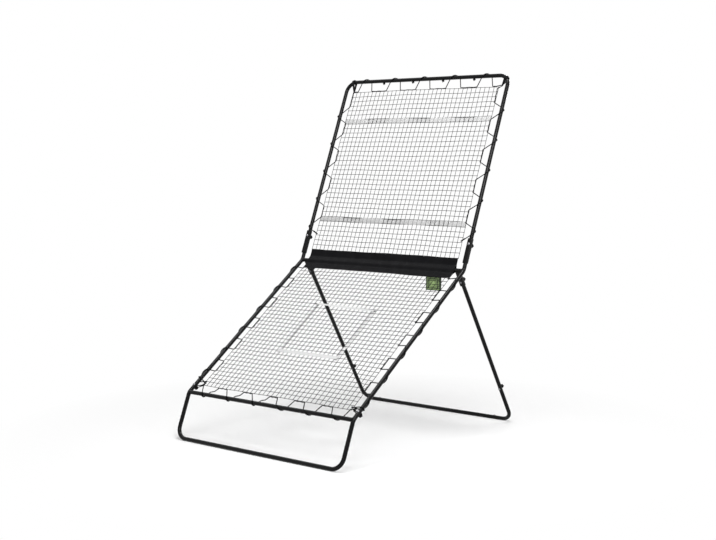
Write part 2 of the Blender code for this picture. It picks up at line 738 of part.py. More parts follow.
def build():
    """Make every piece of the rebounder."""
    clear_scene()
    coat = material("black powder coat", (0.018, 0.018, 0.020), 0.42, 0.0)
    zinc = material("dark zinc", (0.16, 0.16, 0.17), 0.38, 1.0)
    plastic = material("black plastic", (0.012, 0.012, 0.013), 0.55, 0.0)
    netting = material("grey net cord", (0.10, 0.10, 0.105), 0.8, 0.0)
    elastic = material("black elastic cord", (0.016, 0.016, 0.018), 0.75, 0.0)
    cloth = material("black sleeve cloth", (0.020, 0.020, 0.023), 0.7, 0.0)
    white = material("white tape", (0.80, 0.80, 0.79), 0.75, 0.0)
    green = material("green tag cloth", (0.09, 0.19, 0.06), 0.7, 0.0)
    tool = material("cutter", (0.8, 0.3, 0.1), 0.5, 0.0)

    lower = empty("lower_panel", KNEE, LOWER_SLOPE)
    upper = empty("upper_panel", FOLD, UPPER_SLOPE)
    leg = empty("rear_leg", FOLD, -REAR_SLOPE)

    foot, foot_path, middle = front_foot(coat)
    down = Vector((0, 0, -1))
    foot_outline = fat_tube("foot_outline", foot_path, tool, None, down, middle)
    welded_bar("knee_crossbar", KNEE, FRAME_WIDTH, [foot_outline], coat)
    outlines = []
    frame_path = rounded(
        [Vector((-SIDE_X, STUB_END + UPPER_TUBE_GAP, 0)), Vector((-SIDE_X, UPPER_LENGTH, 0)),
         Vector((SIDE_X, UPPER_LENGTH, 0)), Vector((SIDE_X, STUB_END + UPPER_TUBE_GAP, 0))],
        (TOP_BEND, TOP_BEND),
    )
    frame = tube("upper_frame", frame_path, [TUBE_R] * len(frame_path), coat, upper, Vector((0, 0, 1)))
    bar = rear_bar(coat, leg)
    bar_outline = fat_tube(
        "fold_bar_outline", [FOLD - Vector((SIDE_X, 0, 0)), FOLD + Vector((SIDE_X, 0, 0))], tool,
        None, down,
    )
    finishes = (zinc, plastic)
    for side, word in ((-1, "left"), (1, "right")):
        path = side_path(side)
        out = Vector((side, 0, 0))
        outline = fat_tube(f"side_outline_{word}", path, tool, None, out)
        outlines.append(outline)
        rail = tube(f"side_tube_{word}", path, [TUBE_R] * len(path), coat, None, out)
        bolted("knee", word, side * SIDE_X, KNEE_BOLT, 1, TUBE_SEAT, (foot, rail), finishes, lower)

        bracket = channel(
            f"fold_bracket_{word}", side * SIDE_X, FOLD_BRACKET, FOLD_BRACKET_END, 1, coat, upper,
        )
        bolted("fold", word, side * SIDE_X, FOLD_BOLT, 1, BRACKET_SEAT, (bracket, frame), finishes, upper)

        hinge = channel(f"leg_bracket_{word}", side * REAR_X, 0, LEG_BRACKET_LENGTH, -1, coat, leg)
        cut(hinge, bar_outline)
        ends = leg_axis_path(TUBE_R + LEG_TOP_GAP, FOOT_SEAM - GAP, side * REAR_X)
        upright = tube(f"rear_upright_{word}", ends, [TUBE_R] * 2, coat, leg, Vector((0, 0, 1)))
        corner = rear_corner(f"rear_corner_{word}", side, coat, leg)
        bolted("leg", word, side * REAR_X, LEG_BOLT, -1, BRACKET_SEAT, (hinge, upright), finishes, leg)
        bolted("foot", word, side * REAR_X, FOOT_BOLT, -1, TUBE_SEAT, (upright, corner), finishes, leg)
        rivet(f"rear_bar_rivet_{word}", side, (corner, bar), zinc, leg)
    welded_bar("fold_crossbar", FOLD, FRAME_WIDTH, outlines, coat)

    net("lower_net", KNEE_MARGIN, LOWER_LENGTH - SLEEVE_DOWN - GAP, netting, lower)
    net("upper_net", SLEEVE_UP + GAP, UPPER_NET_TOP, netting, upper)
    sleeve(cloth)
    tag(green)
    tape("upper_tape_low", LOW_TAPE_FROM_FOLD, white, upper)
    tape("upper_tape_high", UPPER_LENGTH - HIGH_TAPE_FROM_TOP, white, upper)
    target(white, lower)
    upper_lacing(elastic, upper)
    lower_lacing(elastic, lower)


build()
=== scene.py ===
"""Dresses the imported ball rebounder: tubes, brackets, bolts, knobs, nets, lacing, sleeve and stage.

The frame gives every place: a slope is the plane of a panel or of the rear leg, and each piece is
laid out on it by its distance across, along and out of that plane. Lengths are in metres.
"""
import json
import math

import bmesh
import bpy
import numpy as np
from bpy.props import FloatProperty, FloatVectorProperty, IntProperty, PointerProperty
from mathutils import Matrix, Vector


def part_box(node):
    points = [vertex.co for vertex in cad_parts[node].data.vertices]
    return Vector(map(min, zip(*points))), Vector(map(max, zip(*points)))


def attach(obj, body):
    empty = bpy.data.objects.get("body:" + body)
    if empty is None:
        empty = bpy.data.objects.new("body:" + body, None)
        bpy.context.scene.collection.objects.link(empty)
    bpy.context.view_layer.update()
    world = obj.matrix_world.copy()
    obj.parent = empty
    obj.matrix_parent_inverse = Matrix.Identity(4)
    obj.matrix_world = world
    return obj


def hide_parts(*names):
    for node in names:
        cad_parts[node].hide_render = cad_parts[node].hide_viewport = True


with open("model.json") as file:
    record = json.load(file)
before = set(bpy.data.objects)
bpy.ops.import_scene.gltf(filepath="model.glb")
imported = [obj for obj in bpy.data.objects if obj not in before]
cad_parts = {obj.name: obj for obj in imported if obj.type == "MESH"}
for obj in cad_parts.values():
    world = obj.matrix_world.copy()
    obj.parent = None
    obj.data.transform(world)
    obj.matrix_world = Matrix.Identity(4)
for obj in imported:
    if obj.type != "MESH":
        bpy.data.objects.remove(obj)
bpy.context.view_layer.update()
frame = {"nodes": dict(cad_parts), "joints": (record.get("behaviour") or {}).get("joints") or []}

bl_info = {
    "name": "Ball Rebounder",
    "version": (1, 0, 0),
    "blender": (4, 5, 0),
    "location": "3D View > Sidebar > Rebounder",
    "description": "Builds the visible pieces of a two-panel ball rebounder round its frame",
    "category": "Object",
}


# Places, read from the frame

ACROSS = np.array([1.0, 0.0, 0.0])


def corners_of(node):
    """The node's vertices as an array of points."""
    mesh = frame["nodes"][node].data
    points = np.empty(len(mesh.vertices) * 3)
    mesh.vertices.foreach_get("co", points)
    return points.reshape(-1, 3)


def unit(vectors):
    """Vectors divided by their lengths."""
    vectors = np.asarray(vectors, float)
    return vectors / np.linalg.norm(vectors, axis=-1, keepdims=True)


class Slope:
    """A plane through a line across the object, at a height and a tilt.

    A place on it has three distances: across (world X), along the slope, and out of its front.
    """

    def __init__(self, start, along):
        self.start = np.array([0.0, *start])
        self.along = np.array([0.0, *unit(along)])
        self.out = np.array([0.0, -self.along[2], self.along[1]])

    def place(self, across, along, out=0.0):
        """World points: start + across X + along the slope + out of it, on whole arrays."""
        across, along, out = (values[..., None] for values in np.broadcast_arrays(across, along, out))
        return self.start + across * ACROSS + along * self.along + out * self.out

    def reach(self, node):
        """The node's lowest and highest (across, along, out) on this slope."""
        points = corners_of(node) - self.start
        own = np.stack([points[:, 0], points @ self.along, points @ self.out], axis=-1)
        return own.min(0), own.max(0)


def centre(node):
    """The middle of a node's box, as Y and Z."""
    return np.array(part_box(node)).mean(axis=0)[1:]


SIDES = (("left", -1), ("right", 1))
TURNS = {joint["child"]: (np.array(joint["pos_m"]), np.array(joint["axis"])) for joint in frame["joints"]}
TUBE_R = 0.0095
TUBE_SIDES = 28
SPIGOT_GAP = 0.0004
TAPER = 0.004
FLAT_R = TUBE_R * math.cos(math.pi / 12)
TOP_BEND = 0.055
BRACKET_SEAT = TUBE_R + 0.0019
CLEAR = 0.0003
KNEE, FOLD, REAR = centre("knee_crossbar"), centre("fold_crossbar"), centre("rear_bar")
FRONT = np.array([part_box("front_foot")[0][1] + FLAT_R, FLAT_R])
LOWER = Slope(KNEE, FOLD - KNEE)
UPPER = Slope(FOLD, [-TURNS["fold_knob_left"][1][2], TURNS["fold_knob_left"][1][1]])
LEG = Slope(FOLD, REAR - FOLD)
SIDE_X = TURNS["fold_knob_right"][0][0]
REAR_X = TURNS["leg_knob_right"][0][0]
LOWER_LENGTH = float(np.linalg.norm(FOLD - KNEE))
REAR_LENGTH = float(np.linalg.norm(REAR - FOLD))
UPPER_LENGTH = UPPER.reach("upper_frame")[1][1] - FLAT_R
LOWER_BOLT = float((TURNS["knee_knob_left"][0] - LOWER.start) @ LOWER.along)


# Meshes from grids of points

def circle(count):
    """Angles round a full turn, without its end."""
    return np.linspace(0, 2 * np.pi, count, endpoint=False)


def distances(points):
    """Each point's distance from the first along the line through them."""
    steps = np.linalg.norm(np.diff(points, axis=0), axis=1)
    return np.concatenate([[0.0], np.cumsum(steps)])


def grid(rows, cols, wrap_rows=False, wrap_cols=False):
    """The quads of a grid of points, and where each quad's corners lie in rows and columns."""
    row, col = np.meshgrid(
        np.arange(rows if wrap_rows else rows - 1), np.arange(cols if wrap_cols else cols - 1), indexing="ij")
    rows_at = row.reshape(-1, 1) + np.array([0, 0, 1, 1])
    cols_at = col.reshape(-1, 1) + np.array([0, 1, 1, 0])
    return rows_at % rows * cols + cols_at % cols, rows_at, cols_at


def skin(points, wrap_rows=False, wrap_cols=False, lengths=None, round_once=1.0):
    """A surface over a grid of points, with its UV map.

    U is the distance along the rows, which lengths gives or the rows' middles do. V is the distance
    across the columns, or for a wrapped section one turn counts as round_once.
    """
    rows, cols = points.shape[:2]
    quads, rows_at, cols_at = grid(rows, cols, wrap_rows, wrap_cols)
    if lengths is None:
        lengths = distances(points.mean(axis=1))
    along = np.append(lengths, lengths[-1] + lengths[1])[rows_at]
    across = cols_at / cols * round_once if wrap_cols else distances(points[rows // 2])[cols_at]
    return points.reshape(-1, 3), quads, np.stack([along, across], axis=-1)


def copies(points, step):
    """One skin for many like shapes, each a grid of points in a stack, its rows a step apart in U."""
    count, rows, cols = points.shape[:3]
    quads, rows_at, cols_at = grid(rows, cols, wrap_cols=True)
    starts = rows * cols * np.arange(count)[:, None, None]
    places = np.stack([rows_at * step, cols_at / cols], axis=-1)
    return points.reshape(-1, 3), (quads + starts).reshape(-1, 4), np.tile(places, (count, 1, 1))


def ball():
    """A unit ball of 24 faces: the grids of cos b cos a, cos b sin a and sin b."""
    tall = np.linspace(-np.pi / 2, np.pi / 2, 5)[:, None]
    turn = circle(6)
    return np.cos(tall) * np.cos(turn), np.cos(tall) * np.sin(turn), np.sin(tall) * np.ones(6)


def make(name, skins, finish, stands_for=(), body="frame", smooth=35, weld=True):
    """One object of all the skins, welded where their points meet, with its faces outwards."""
    starts = np.cumsum([0] + [len(part[0]) for part in skins[:-1]])
    points, _, places = (np.concatenate(parts) for parts in zip(*skins))
    quads = np.concatenate([part[1] + start for part, start in zip(skins, starts)])
    mesh = bpy.data.meshes.new(name)
    mesh.vertices.add(len(points))
    mesh.vertices.foreach_set("co", points.ravel())
    mesh.loops.add(quads.size)
    mesh.loops.foreach_set("vertex_index", quads.ravel().astype(np.int32))
    mesh.polygons.add(len(quads))
    mesh.polygons.foreach_set("loop_start", np.arange(0, quads.size, 4, dtype=np.int32))
    mesh.uv_layers.new(name="UVMap").uv.foreach_set("vector", places.ravel())
    mesh.update(calc_edges=True)
    if weld:
        close_poles(mesh)
    mesh.shade_smooth()
    mesh.set_sharp_from_angle(angle=math.radians(smooth))
    mesh.materials.append(finish)
    piece = bpy.data.objects.new(name, mesh)
    bpy.context.collection.objects.link(piece)
    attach(piece, body)
    if stands_for:
        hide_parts(*stands_for)
    return piece


def close_poles(mesh):
    """Join the points that lie on each other and turn the faces outwards."""
    work = bmesh.new()
    work.from_mesh(mesh)
    bmesh.ops.remove_doubles(work, verts=work.verts, dist=1e-6)
    bmesh.ops.recalc_face_normals(work, faces=work.faces)
    work.to_mesh(mesh)
    work.free()


def thicken(piece, name, thickness):
    """Give a sheet its thickness, half on each side."""
    wall = piece.modifiers.new(name, "SOLIDIFY")
    wall.thickness = thickness
    wall.offset = 0


def carried_frame(path):
    """Two directions across a path that don't twist along it.

    Each point starts from its tangent's cross product with the axis that it lies least along. The
    turn between neighbours is measured and summed, and taken back out.
    """
    steps = unit(np.diff(path, axis=0))
    tangent = unit(np.concatenate([steps[:1], steps[:-1] + steps[1:], steps[-1:]]))
    axes = np.eye(3)[np.argmin(np.abs(tangent), axis=1)]
    first = unit(np.cross(tangent, axes))
    second = np.cross(tangent, first)
    lean = np.sum(first[:-1] * tangent[1:], axis=1, keepdims=True)
    carried = first[:-1] - lean * tangent[1:]
    turn = np.arctan2(np.sum(carried * second[1:], axis=1), np.sum(carried * first[1:], axis=1))
    angle = np.concatenate([[0.0], np.cumsum(turn)])[:, None]
    return np.cos(angle) * first + np.sin(angle) * second, np.cos(angle) * second - np.sin(angle) * first


def rings(path, radius, sides, across=None):
    """Circles round a path: point + radius (cos a first + sin a second), across it."""
    first, second = carried_frame(path) if across is None else across
    angle = circle(sides)[:, None]
    way = np.cos(angle) * first[:, None] + np.sin(angle) * second[:, None]
    return path[:, None] + np.broadcast_to(radius, len(path))[:, None, None] * way


def rod(path, radius, sides):
    """A round solid along a path, its ends closed by rings that shrink to the path."""
    body = rings(path, radius, sides)
    first, last = (np.broadcast_to(end[:, None], body[:1].shape) for end in (path[:1], path[-1:]))
    return skin(np.concatenate([first, body, last]), wrap_cols=True)


def steel_tube(path, radius, wall):
    """A tube with its bore: the outer wall's rings, then the bore's back to the start."""
    outer = rings(path, radius, TUBE_SIDES)
    inner = rings(path, radius - wall, TUBE_SIDES)
    return skin(np.concatenate([outer, inner[::-1]]), wrap_rows=True, wrap_cols=True)


def bent(corners, radii):
    """A path of straights joined by arcs.

    An arc of radius r through a turn t starts r tan(t / 2) before its corner, and its points are
    start + r (sin a into + (1 - cos a) inwards) as a goes from 0 to t.
    """
    path = [corners[:1]]
    for before, corner, after, radius in zip(corners, corners[1:], corners[2:], radii):
        into, leaving = unit(corner - before), unit(after - corner)
        turn = math.acos(float(np.clip(into @ leaving, -1, 1)))
        inwards = unit(leaving - (leaving @ into) * into)
        start = corner - into * radius * math.tan(turn / 2)
        angle = np.linspace(0, turn, 14)[:, None]
        path.append(start + radius * (np.sin(angle) * into + (1 - np.cos(angle)) * inwards))
    return np.concatenate(path + [corners[-1:]])


def eased(points, samples=4, closed=False):
    """A uniform cubic B-spline of the points.

    Between two of them it is (1-t)^3 / 6, (3t^3 - 6t^2 + 4) / 6, (-3t^3 + 3t^2 + 3t + 1) / 6 and
    t^3 / 6 of the four around.
    """
    if closed:
        around = np.concatenate([points[-1:], points, points[:2]])
    else:
        before, after = 2 * points[:1] - points[1:2], 2 * points[-1:] - points[-2:-1]
        around = np.concatenate([before, points, after])
    t = np.linspace(0, 1, samples, endpoint=False)[None, :, None]
    four = [around[k:len(around) - 3 + k, None] for k in range(4)]
    curve = ((1 - t) ** 3 * four[0] + (3 * t ** 3 - 6 * t ** 2 + 4) * four[1]
             + (-3 * t ** 3 + 3 * t ** 2 + 3 * t + 1) * four[2] + t ** 3 * four[3]) / 6
    curve = curve.reshape(-1, points.shape[-1])
    return curve if closed else np.concatenate([curve, points[-1:]])


def turned(profile, sides, origin, axis, lobes=None):
    """A turned body: each (height, radius) of the profile makes a ring round the axis.

    The lobes function, if given, takes the profile's rows and the angles and returns how much to
    take off the radius.
    """
    angle = circle(sides)
    height, radius = profile[:, :1], profile[:, 1:2] * np.ones(sides)
    if lobes is not None:
        radius = radius - lobes(profile, angle)
    axis = unit(axis)
    points = (np.asarray(origin) + height[..., None] * axis + (radius * np.cos(angle))[..., None] * ACROSS
              + (radius * np.sin(angle))[..., None] * np.cross(axis, ACROSS))
    return skin(points, wrap_cols=True)


# Materials

GLANCE = "Specular IOR Level"


def operator(operation, swapped=False):
    """A Term's method for one Math operation, with the other value first where it is swapped."""
    def reckon(self, other):
        values = {0: other, 1: self} if swapped else {0: self, 1: other}
        return self.nodes.node("ShaderNodeMath", {"operation": operation}, values)
    return reckon


class Term:
    """A value in a node tree. Arithmetic on it adds Math nodes."""

    __add__, __radd__ = operator("ADD"), operator("ADD", True)
    __sub__, __rsub__ = operator("SUBTRACT"), operator("SUBTRACT", True)
    __mul__, __rmul__ = operator("MULTIPLY"), operator("MULTIPLY", True)
    __truediv__, __rtruediv__ = operator("DIVIDE"), operator("DIVIDE", True)

    def __init__(self, nodes, socket):
        self.nodes = nodes
        self.socket = socket

    def output(self, name):
        """Another output of the same node."""
        return Term(self.nodes, self.socket.node.outputs[name])

    def math(self, operation, *others):
        """A Math node on this value and others."""
        return self.nodes.node("ShaderNodeMath", {"operation": operation}, dict(enumerate((self, *others))))

    def wave(self, pitch):
        """One cycle for each pitch, from 0 to 1."""
        return (self * (2 * math.pi / pitch)).math("SINE") * 0.5 + 0.5

    def ticks(self, first, pitch, width):
        """1 on lines a pitch apart, the first at its place, and 0 between them."""
        near = (self - (first - pitch / 4)).wave(pitch)
        return near.above(0.5 + 0.5 * math.cos(math.pi * width / pitch), 0.06)

    def above(self, edge, soft):
        """0 below the edge and 1 above it, over a soft width."""
        return ((self - edge) / soft + 0.5).math("MINIMUM", 1.0).math("MAXIMUM", 0.0)


class Nodes:
    """A node tree under construction, with its nodes added by one method."""

    def __init__(self, tree):
        self.tree = tree

    def node(self, kind, settings=None, inputs=None):
        """A new node's first output, after its settings and then its sockets' values or links."""
        made = self.tree.nodes.new(kind)
        for key, value in (settings or {}).items():
            setattr(made, key, value)
        self.fill(made, inputs or {})
        return Term(self, made.outputs[0])

    def fill(self, node, inputs):
        """Give a node's sockets their values or links."""
        for key, value in inputs.items():
            if isinstance(value, Term):
                self.tree.links.new(value.socket, node.inputs[key])
            else:
                node.inputs[key].default_value = value

    def seen(self):
        """1 for the camera's rays, reflections and clear bodies, and 0 for other light."""
        path = self.node("ShaderNodeLightPath")
        sight = path.math("MAXIMUM", path.output("Is Glossy Ray"))
        return sight.math("MAXIMUM", path.output("Is Transmission Ray"))


class Finish(Nodes):
    """A Principled material under construction."""

    def __init__(self, name, colour, roughness, metallic=0.0):
        self.material = bpy.data.materials.new(name)
        self.material.use_nodes = True
        super().__init__(self.material.node_tree)
        self.shader = self.tree.nodes["Principled BSDF"]
        self.fill(self.shader, {"Base Color": (*colour, 1.0), "Roughness": roughness, "Metallic": metallic})

    def noise(self, scale, detail=2.0):
        """Cloudy noise at a scale, on object coordinates."""
        where = self.node("ShaderNodeTexCoord").output("Object")
        return self.node("ShaderNodeTexNoise", None, {"Vector": where, "Scale": scale, "Detail": detail})

    def map(self):
        """The surface's own U and V, in metres or turns."""
        parts = self.node("ShaderNodeSeparateXYZ", None, {0: self.node("ShaderNodeUVMap")})
        return parts, parts.output(1)

    def mix(self, amount, low, high):
        """One colour or the other by an amount."""
        low, high = (colour if isinstance(colour, Term) else (*colour, 1.0) for colour in (low, high))
        return self.node("ShaderNodeMix", {"data_type": "RGBA"}, {0: amount, 6: low, 7: high}).output(2)

    def done(self, colour, roughness, height, depth, uniform=None, strength=1.0):
        """The material, with its colour and roughness, a relief of a depth in metres, and uniform values."""
        values = {"Height": height, "Distance": depth, "Strength": strength}
        relief = self.node("ShaderNodeBump", None, values)
        self.fill(self.shader, {"Base Color": colour, "Roughness": roughness, "Normal": relief})
        self.fill(self.shader, uniform or {})
        return self.material


def shade(colour, share):
    """A colour made darker or lighter."""
    return tuple(channel * share for channel in colour)


def powder_coat(colour):
    """Black powder coat: fine orange peel, cloudy gloss and a little dust."""
    coat = Finish("black powder coat", colour, 0.36)
    peel, cloud = coat.noise(900.0, 3.0), coat.noise(14.0, 4.0)
    dusty = coat.mix(cloud.above(0.55, 0.5), colour, shade(colour, 1.7))
    return coat.done(dusty, cloud * 0.08 + peel * 0.05 + 0.13, peel, 0.00012, {GLANCE: 0.135})


def plated_steel(colour):
    """Dark zinc plate: brushed grain and stains."""
    plate = Finish("dark zinc", colour, 0.4, 1.0)
    grain, stain = plate.noise(1400.0, 2.0), plate.noise(160.0, 3.0)
    stained = plate.mix(stain, shade(colour, 0.6), shade(colour, 1.5))
    return plate.done(stained, grain * 0.2 + 0.26, grain, 0.00005)


def moulded_plastic(colour):
    """Matt black moulded plastic with its spark-eroded grain."""
    plastic = Finish("black plastic", colour, 0.5)
    grain = plastic.noise(2600.0, 1.0)
    cloudy = plastic.mix(plastic.noise(80.0), shade(colour, 0.8), shade(colour, 1.8))
    return plastic.done(cloudy, grain * 0.2 + 0.42, grain, 0.00006, {GLANCE: 0.15})


def twisted_twine(colour, lay):
    """Net twine: strands that wind round it once for each lay; grooves painted dark, crests light."""
    twine = Finish("net twine", colour, 0.72)
    along, around = twine.map()
    strand = (along / lay + around).wave(1 / 3)
    # Painted shade in the twist's grooves and painted highlight on its crests.
    twisted = twine.mix(strand, shade(colour, 0.45), shade(colour, 1.4))
    return twine.done(twisted, strand * 0.2 + 0.58, strand, 0.0002, {GLANCE: 0.12})


def braided_cover(colour, lay, carriers):
    """The braided cover of an elastic cord: two sets of yarns that wind against each other, with painted
    shade between.
    """
    braid = Finish("elastic cord", colour, 0.66)
    along, around = braid.map()
    one, other = ((along / lay + way * around).wave(1 / carriers) for way in (1, -1))
    yarn = one.math("MAXIMUM", other)
    # Real light flecks on the yarns, with painted shade in the grooves between them.
    flecks_and_groove_shade = braid.mix(yarn * braid.noise(240.0, 2.0), shade(colour, 0.5), shade(colour, 2.4))
    return braid.done(flecks_and_groove_shade, yarn * -0.15 + 0.78, yarn, 0.0003, {GLANCE: 0.1})


def coated_cloth(colour, thread):
    """Coated sleeve cloth: a plain weave under a thin coat, with soft creases painted lighter where raised.
    """
    cloth = Finish("sleeve cloth", colour, 0.55)
    along, across = cloth.map()
    weave = along.wave(thread * 2) * across.wave(thread * 2)
    crease = cloth.noise(22.0, 5.0)
    # Painted highlight: the raised parts of the creases are lighter.
    crease_highlight = cloth.mix(crease.above(0.5, 0.6), colour, shade(colour, 1.9))
    roughness = crease * 0.12 + weave * 0.06 + 0.2
    return cloth.done(crease_highlight, roughness, weave * 0.35 + crease, 0.0006, {GLANCE: 0.03}, 0.35)


def webbing(name, colour, rib, strands=None):
    """Woven tape: ribs across it and a twill line along each, with painted shade between the ribs.

    Where strands of a net lie against it, given as the first one and their pitch, it bulges out and is
    painted greyer: painted shade of the strands behind it.
    """
    tape = Finish(name, colour, 0.7)
    along, across = tape.map()
    ribs, twill = along.wave(rib), (along + across).wave(rib * 1.5)
    soil = tape.noise(30.0, 4.0)
    # Painted shade in the grooves between the ribs, mixed with real soil.
    cloth = tape.mix(ribs * 0.5 + soil * 0.5, shade(colour, 0.84), shade(colour, 1.06))
    height = ribs * 0.6 + twill * 0.4
    if strands:
        # Painted shade of the strands showing through the tape, on a real bulge.
        bulge_and_strand_shade = along.ticks(*strands, 0.0042)
        cloth = tape.mix(bulge_and_strand_shade * 0.8, cloth, shade(colour, 0.4))
        height = height + bulge_and_strand_shade * 1.6
    return tape.done(cloth, twill * 0.15 + 0.62, height, 0.0003, {"Sheen Weight": 0.2})


def tag_cloth(colour, border, width, height):
    """The tag's cloth: a darker border line and a plain field with a lighter middle."""
    cloth = Finish("tag cloth", colour, 0.62)
    along, across = cloth.map()
    down, aside = (
        (place - whole / 2).math("ABSOLUTE") * (2 / whole)
        for place, whole in ((along, height), (across, width))
    )
    out = down.math("MAXIMUM", aside)
    line = out.above(0.62, 0.05) * (1 - out.above(0.72, 0.05))
    rim, middle = out.above(0.9, 0.04), 1 - out.above(0.36, 0.08)
    weave = along.wave(0.0009) * across.wave(0.0009)
    field = cloth.mix(middle * 0.5, colour, shade(colour, 2.4))
    lined = cloth.mix(line.math("MAXIMUM", rim), field, border)
    return cloth.done(lined, weave * 0.2 + 0.5, weave + line * 0.8, 0.0003, {"Sheen Weight": 0.1})


def white_floor(albedo, share, near, far):
    """The floor: a pale matt ground that the camera and reflections see with a share of plain white.

    The share grows from its least at the near distance from the middle to all at the far one.
    """
    floor = Finish("pale floor", (albedo,) * 3, 0.9)
    place = floor.node("ShaderNodeTexCoord").output("Object")
    away = floor.node("ShaderNodeVectorMath", {"operation": "LENGTH"}, {0: place}).output("Value")
    grown = (away - near).math("MAXIMUM", 0.0) * ((1 - share) / (far - near)) + share
    white = floor.seen() * grown.math("MINIMUM", 1.0)
    glow = floor.node("ShaderNodeEmission", None, {"Color": (1, 1, 1, 1), "Strength": 1.0})
    own = Term(floor, floor.shader.outputs[0])
    both = floor.node("ShaderNodeMixShader", None, {0: white, 1: own, 2: glow})
    floor.fill(floor.tree.nodes["Material Output"], {"Surface": both})
    return floor.material


# What a user may change

def size(name, about, metres):
    """A length that a user may change."""
    return FloatProperty(name=name, description=about, default=metres, subtype="DISTANCE")


def tint(name, about, colour):
    """A colour that a user may change."""
    return FloatVectorProperty(name=name, description=about, default=colour, subtype="COLOR")


def power(name, about, watts):
    """A lamp's power that a user may change."""
    return FloatProperty(name=name, description=about, default=watts, unit="POWER")


def fraction(name, about, part):
    """A share from 0 to 1 that a user may change."""
    return FloatProperty(name=name, description=about, default=part, min=0, max=1, subtype="FACTOR")


class TubeSettings(bpy.types.PropertyGroup):
    """The steel tubes and brackets."""

    wall: size("Wall", "Thickness of the tube's wall", 0.0012)
    bend_front: size("Front bend", "Radius of the front foot's floor corners", 0.055)
    bend_knee: size("Knee bend", "Radius of the knee bends", 0.045)
    bend_fold: size("Fold bend", "Radius of the side tubes' upper bends", 0.045)
    bend_top: size("Top bend", "Radius of the top corners", TOP_BEND)
    bend_rear: size("Rear bend", "Radius of the rear floor corners", 0.055)
    bead: size("Weld bead", "Radius of a weld bead", 0.0015)
    sheet: size("Sheet", "Thickness of the brackets", 0.0016)
    coat: tint("Coat", "Colour of the powder coat", (0.0015, 0.0015, 0.0017))


class FittingSettings(bpy.types.PropertyGroup):
    """Bolts, rivets and hand knobs."""

    head: size("Head", "Diameter of a bolt's head", 0.012)
    head_rise: size("Head rise", "Height of a bolt's head", 0.0032)
    shank: size("Shank", "Diameter of a bolt's shank", 0.006)
    knob: size("Knob", "Diameter of a hand knob", 0.020)
    knob_rise: size("Knob rise", "Height of a hand knob", 0.012)
    lobes: IntProperty(name="Lobes", description="Number of a knob's lobes", default=5, min=3)
    scallop: size("Scallop", "Depth between two lobes", 0.0014)
    plate: tint("Plate", "Colour of the plated steel", (0.19, 0.19, 0.2))
    plastic: tint("Plastic", "Colour of the knobs", (0.004, 0.004, 0.0043))


class NetSettings(bpy.types.PropertyGroup):
    """Both nets and the tapes in them."""

    twine: size("Twine", "Diameter of the net's twine", 0.0024)
    mesh: size("Mesh", "Spacing of the net's strands", 0.0262)
    overhang: size("Overhang", "How far the net reaches past its lacing", 0.0065)
    slack: size("Slack", "How far strands stray", 0.0011)
    tape: size("Tape", "Width of the upper net's tapes", 0.0236)
    target: size("Target tape", "Width of the target's tapes", 0.020)
    colour: tint("Twine colour", "Colour of the twine", (0.009, 0.009, 0.0095))
    white: tint("Tape colour", "Colour of the tapes", (0.66, 0.66, 0.66))


class CordSettings(bpy.types.PropertyGroup):
    """The elastic lacing."""

    thick: size("Thickness", "Diameter of the cord", 0.0045)
    wrap: size("Wrap", "How far the cord moves along a tube in one turn", 0.040)
    colour: tint("Cord colour", "Colour of the cord", (0.004, 0.004, 0.0043))


class ClothSettings(bpy.types.PropertyGroup):
    """The sleeve and the tag."""

    cloth: size("Cloth", "Thickness of the cloth", 0.0011)
    tag: size("Tag", "Thickness of the tag", 0.0009)
    ripple: size("Ripple", "Height of the cloth's ripples", 0.0007)
    hem: size("Hem", "Width of the hems", 0.013)
    stitch: size("Stitch", "Pitch of the stitches", 0.0045)
    black: tint("Sleeve colour", "Colour of the sleeve", (0.0042, 0.0042, 0.0047))
    green: tint("Tag colour", "Colour of the tag", (0.23, 0.33, 0.13))
    border: tint("Border colour", "Colour of the tag's border", (0.02, 0.04, 0.012))


class StageSettings(bpy.types.PropertyGroup):
    """The floor, the lamps and the camera."""

    albedo: fraction("Floor", "How pale the floor is", 0.9)
    glow: fraction("Glow", "Share of plain white in the seen floor", 0.08)
    world: FloatProperty(name="World", description="Strength of the light all round", default=0.15, min=0)
    top: power("Top", "Power of the lamp overhead", 108.0)
    key: power("Left", "Power of the lamp on the left", 14.0)
    front: power("Front", "Power of the wide lamp in front", 118.0)
    side: power("Side", "Power of the side and back lamps", 26.0)
    lens: FloatProperty(name="Lens", description="Focal length", default=64.49, unit="CAMERA")


# Tubes and brackets

def weld_bead(slope, side, bead):
    """A weld where the crossbar at a slope's start meets a side tube of the same size.

    Round the crossbar the angle a gives the place r cos a out and r sin a along, and the side tube's
    wall lies r |sin a| short of its centre line. The bead's own radius ripples round the joint.
    """
    angle = circle(60)
    spread = TUBE_R * 1.02
    along, out = spread * np.sin(angle), spread * np.cos(angle)
    path = slope.place(side * (SIDE_X - np.abs(along)), along, out)
    outward = unit(path - slope.place(side * SIDE_X, 0))
    ahead = unit(np.roll(path, -1, axis=0) - np.roll(path, 1, axis=0))
    radius = bead * (0.78 + 0.22 * np.cos(angle * 15))
    points = rings(path, radius, 8, (outward, np.cross(ahead, outward)))
    return skin(points, wrap_rows=True, wrap_cols=True)


def crossbar(slope, wall):
    """A tube across the frame at the slope's start, its ends cut to the side tubes' walls.

    The end's distance from the side tube's centre line is 0.92 r |sin a| round the section.
    """
    angle = circle(TUBE_SIDES)
    cope = SIDE_X - 0.92 * TUBE_R * np.abs(np.sin(angle))
    rows = [
        slope.place(end * cope, radius * np.sin(angle), radius * np.cos(angle))
        for radius, end in ((TUBE_R, -1), (TUBE_R, 1), (TUBE_R - wall, 1), (TUBE_R - wall, -1))
    ]
    return skin(np.stack(rows), wrap_rows=True, wrap_cols=True)


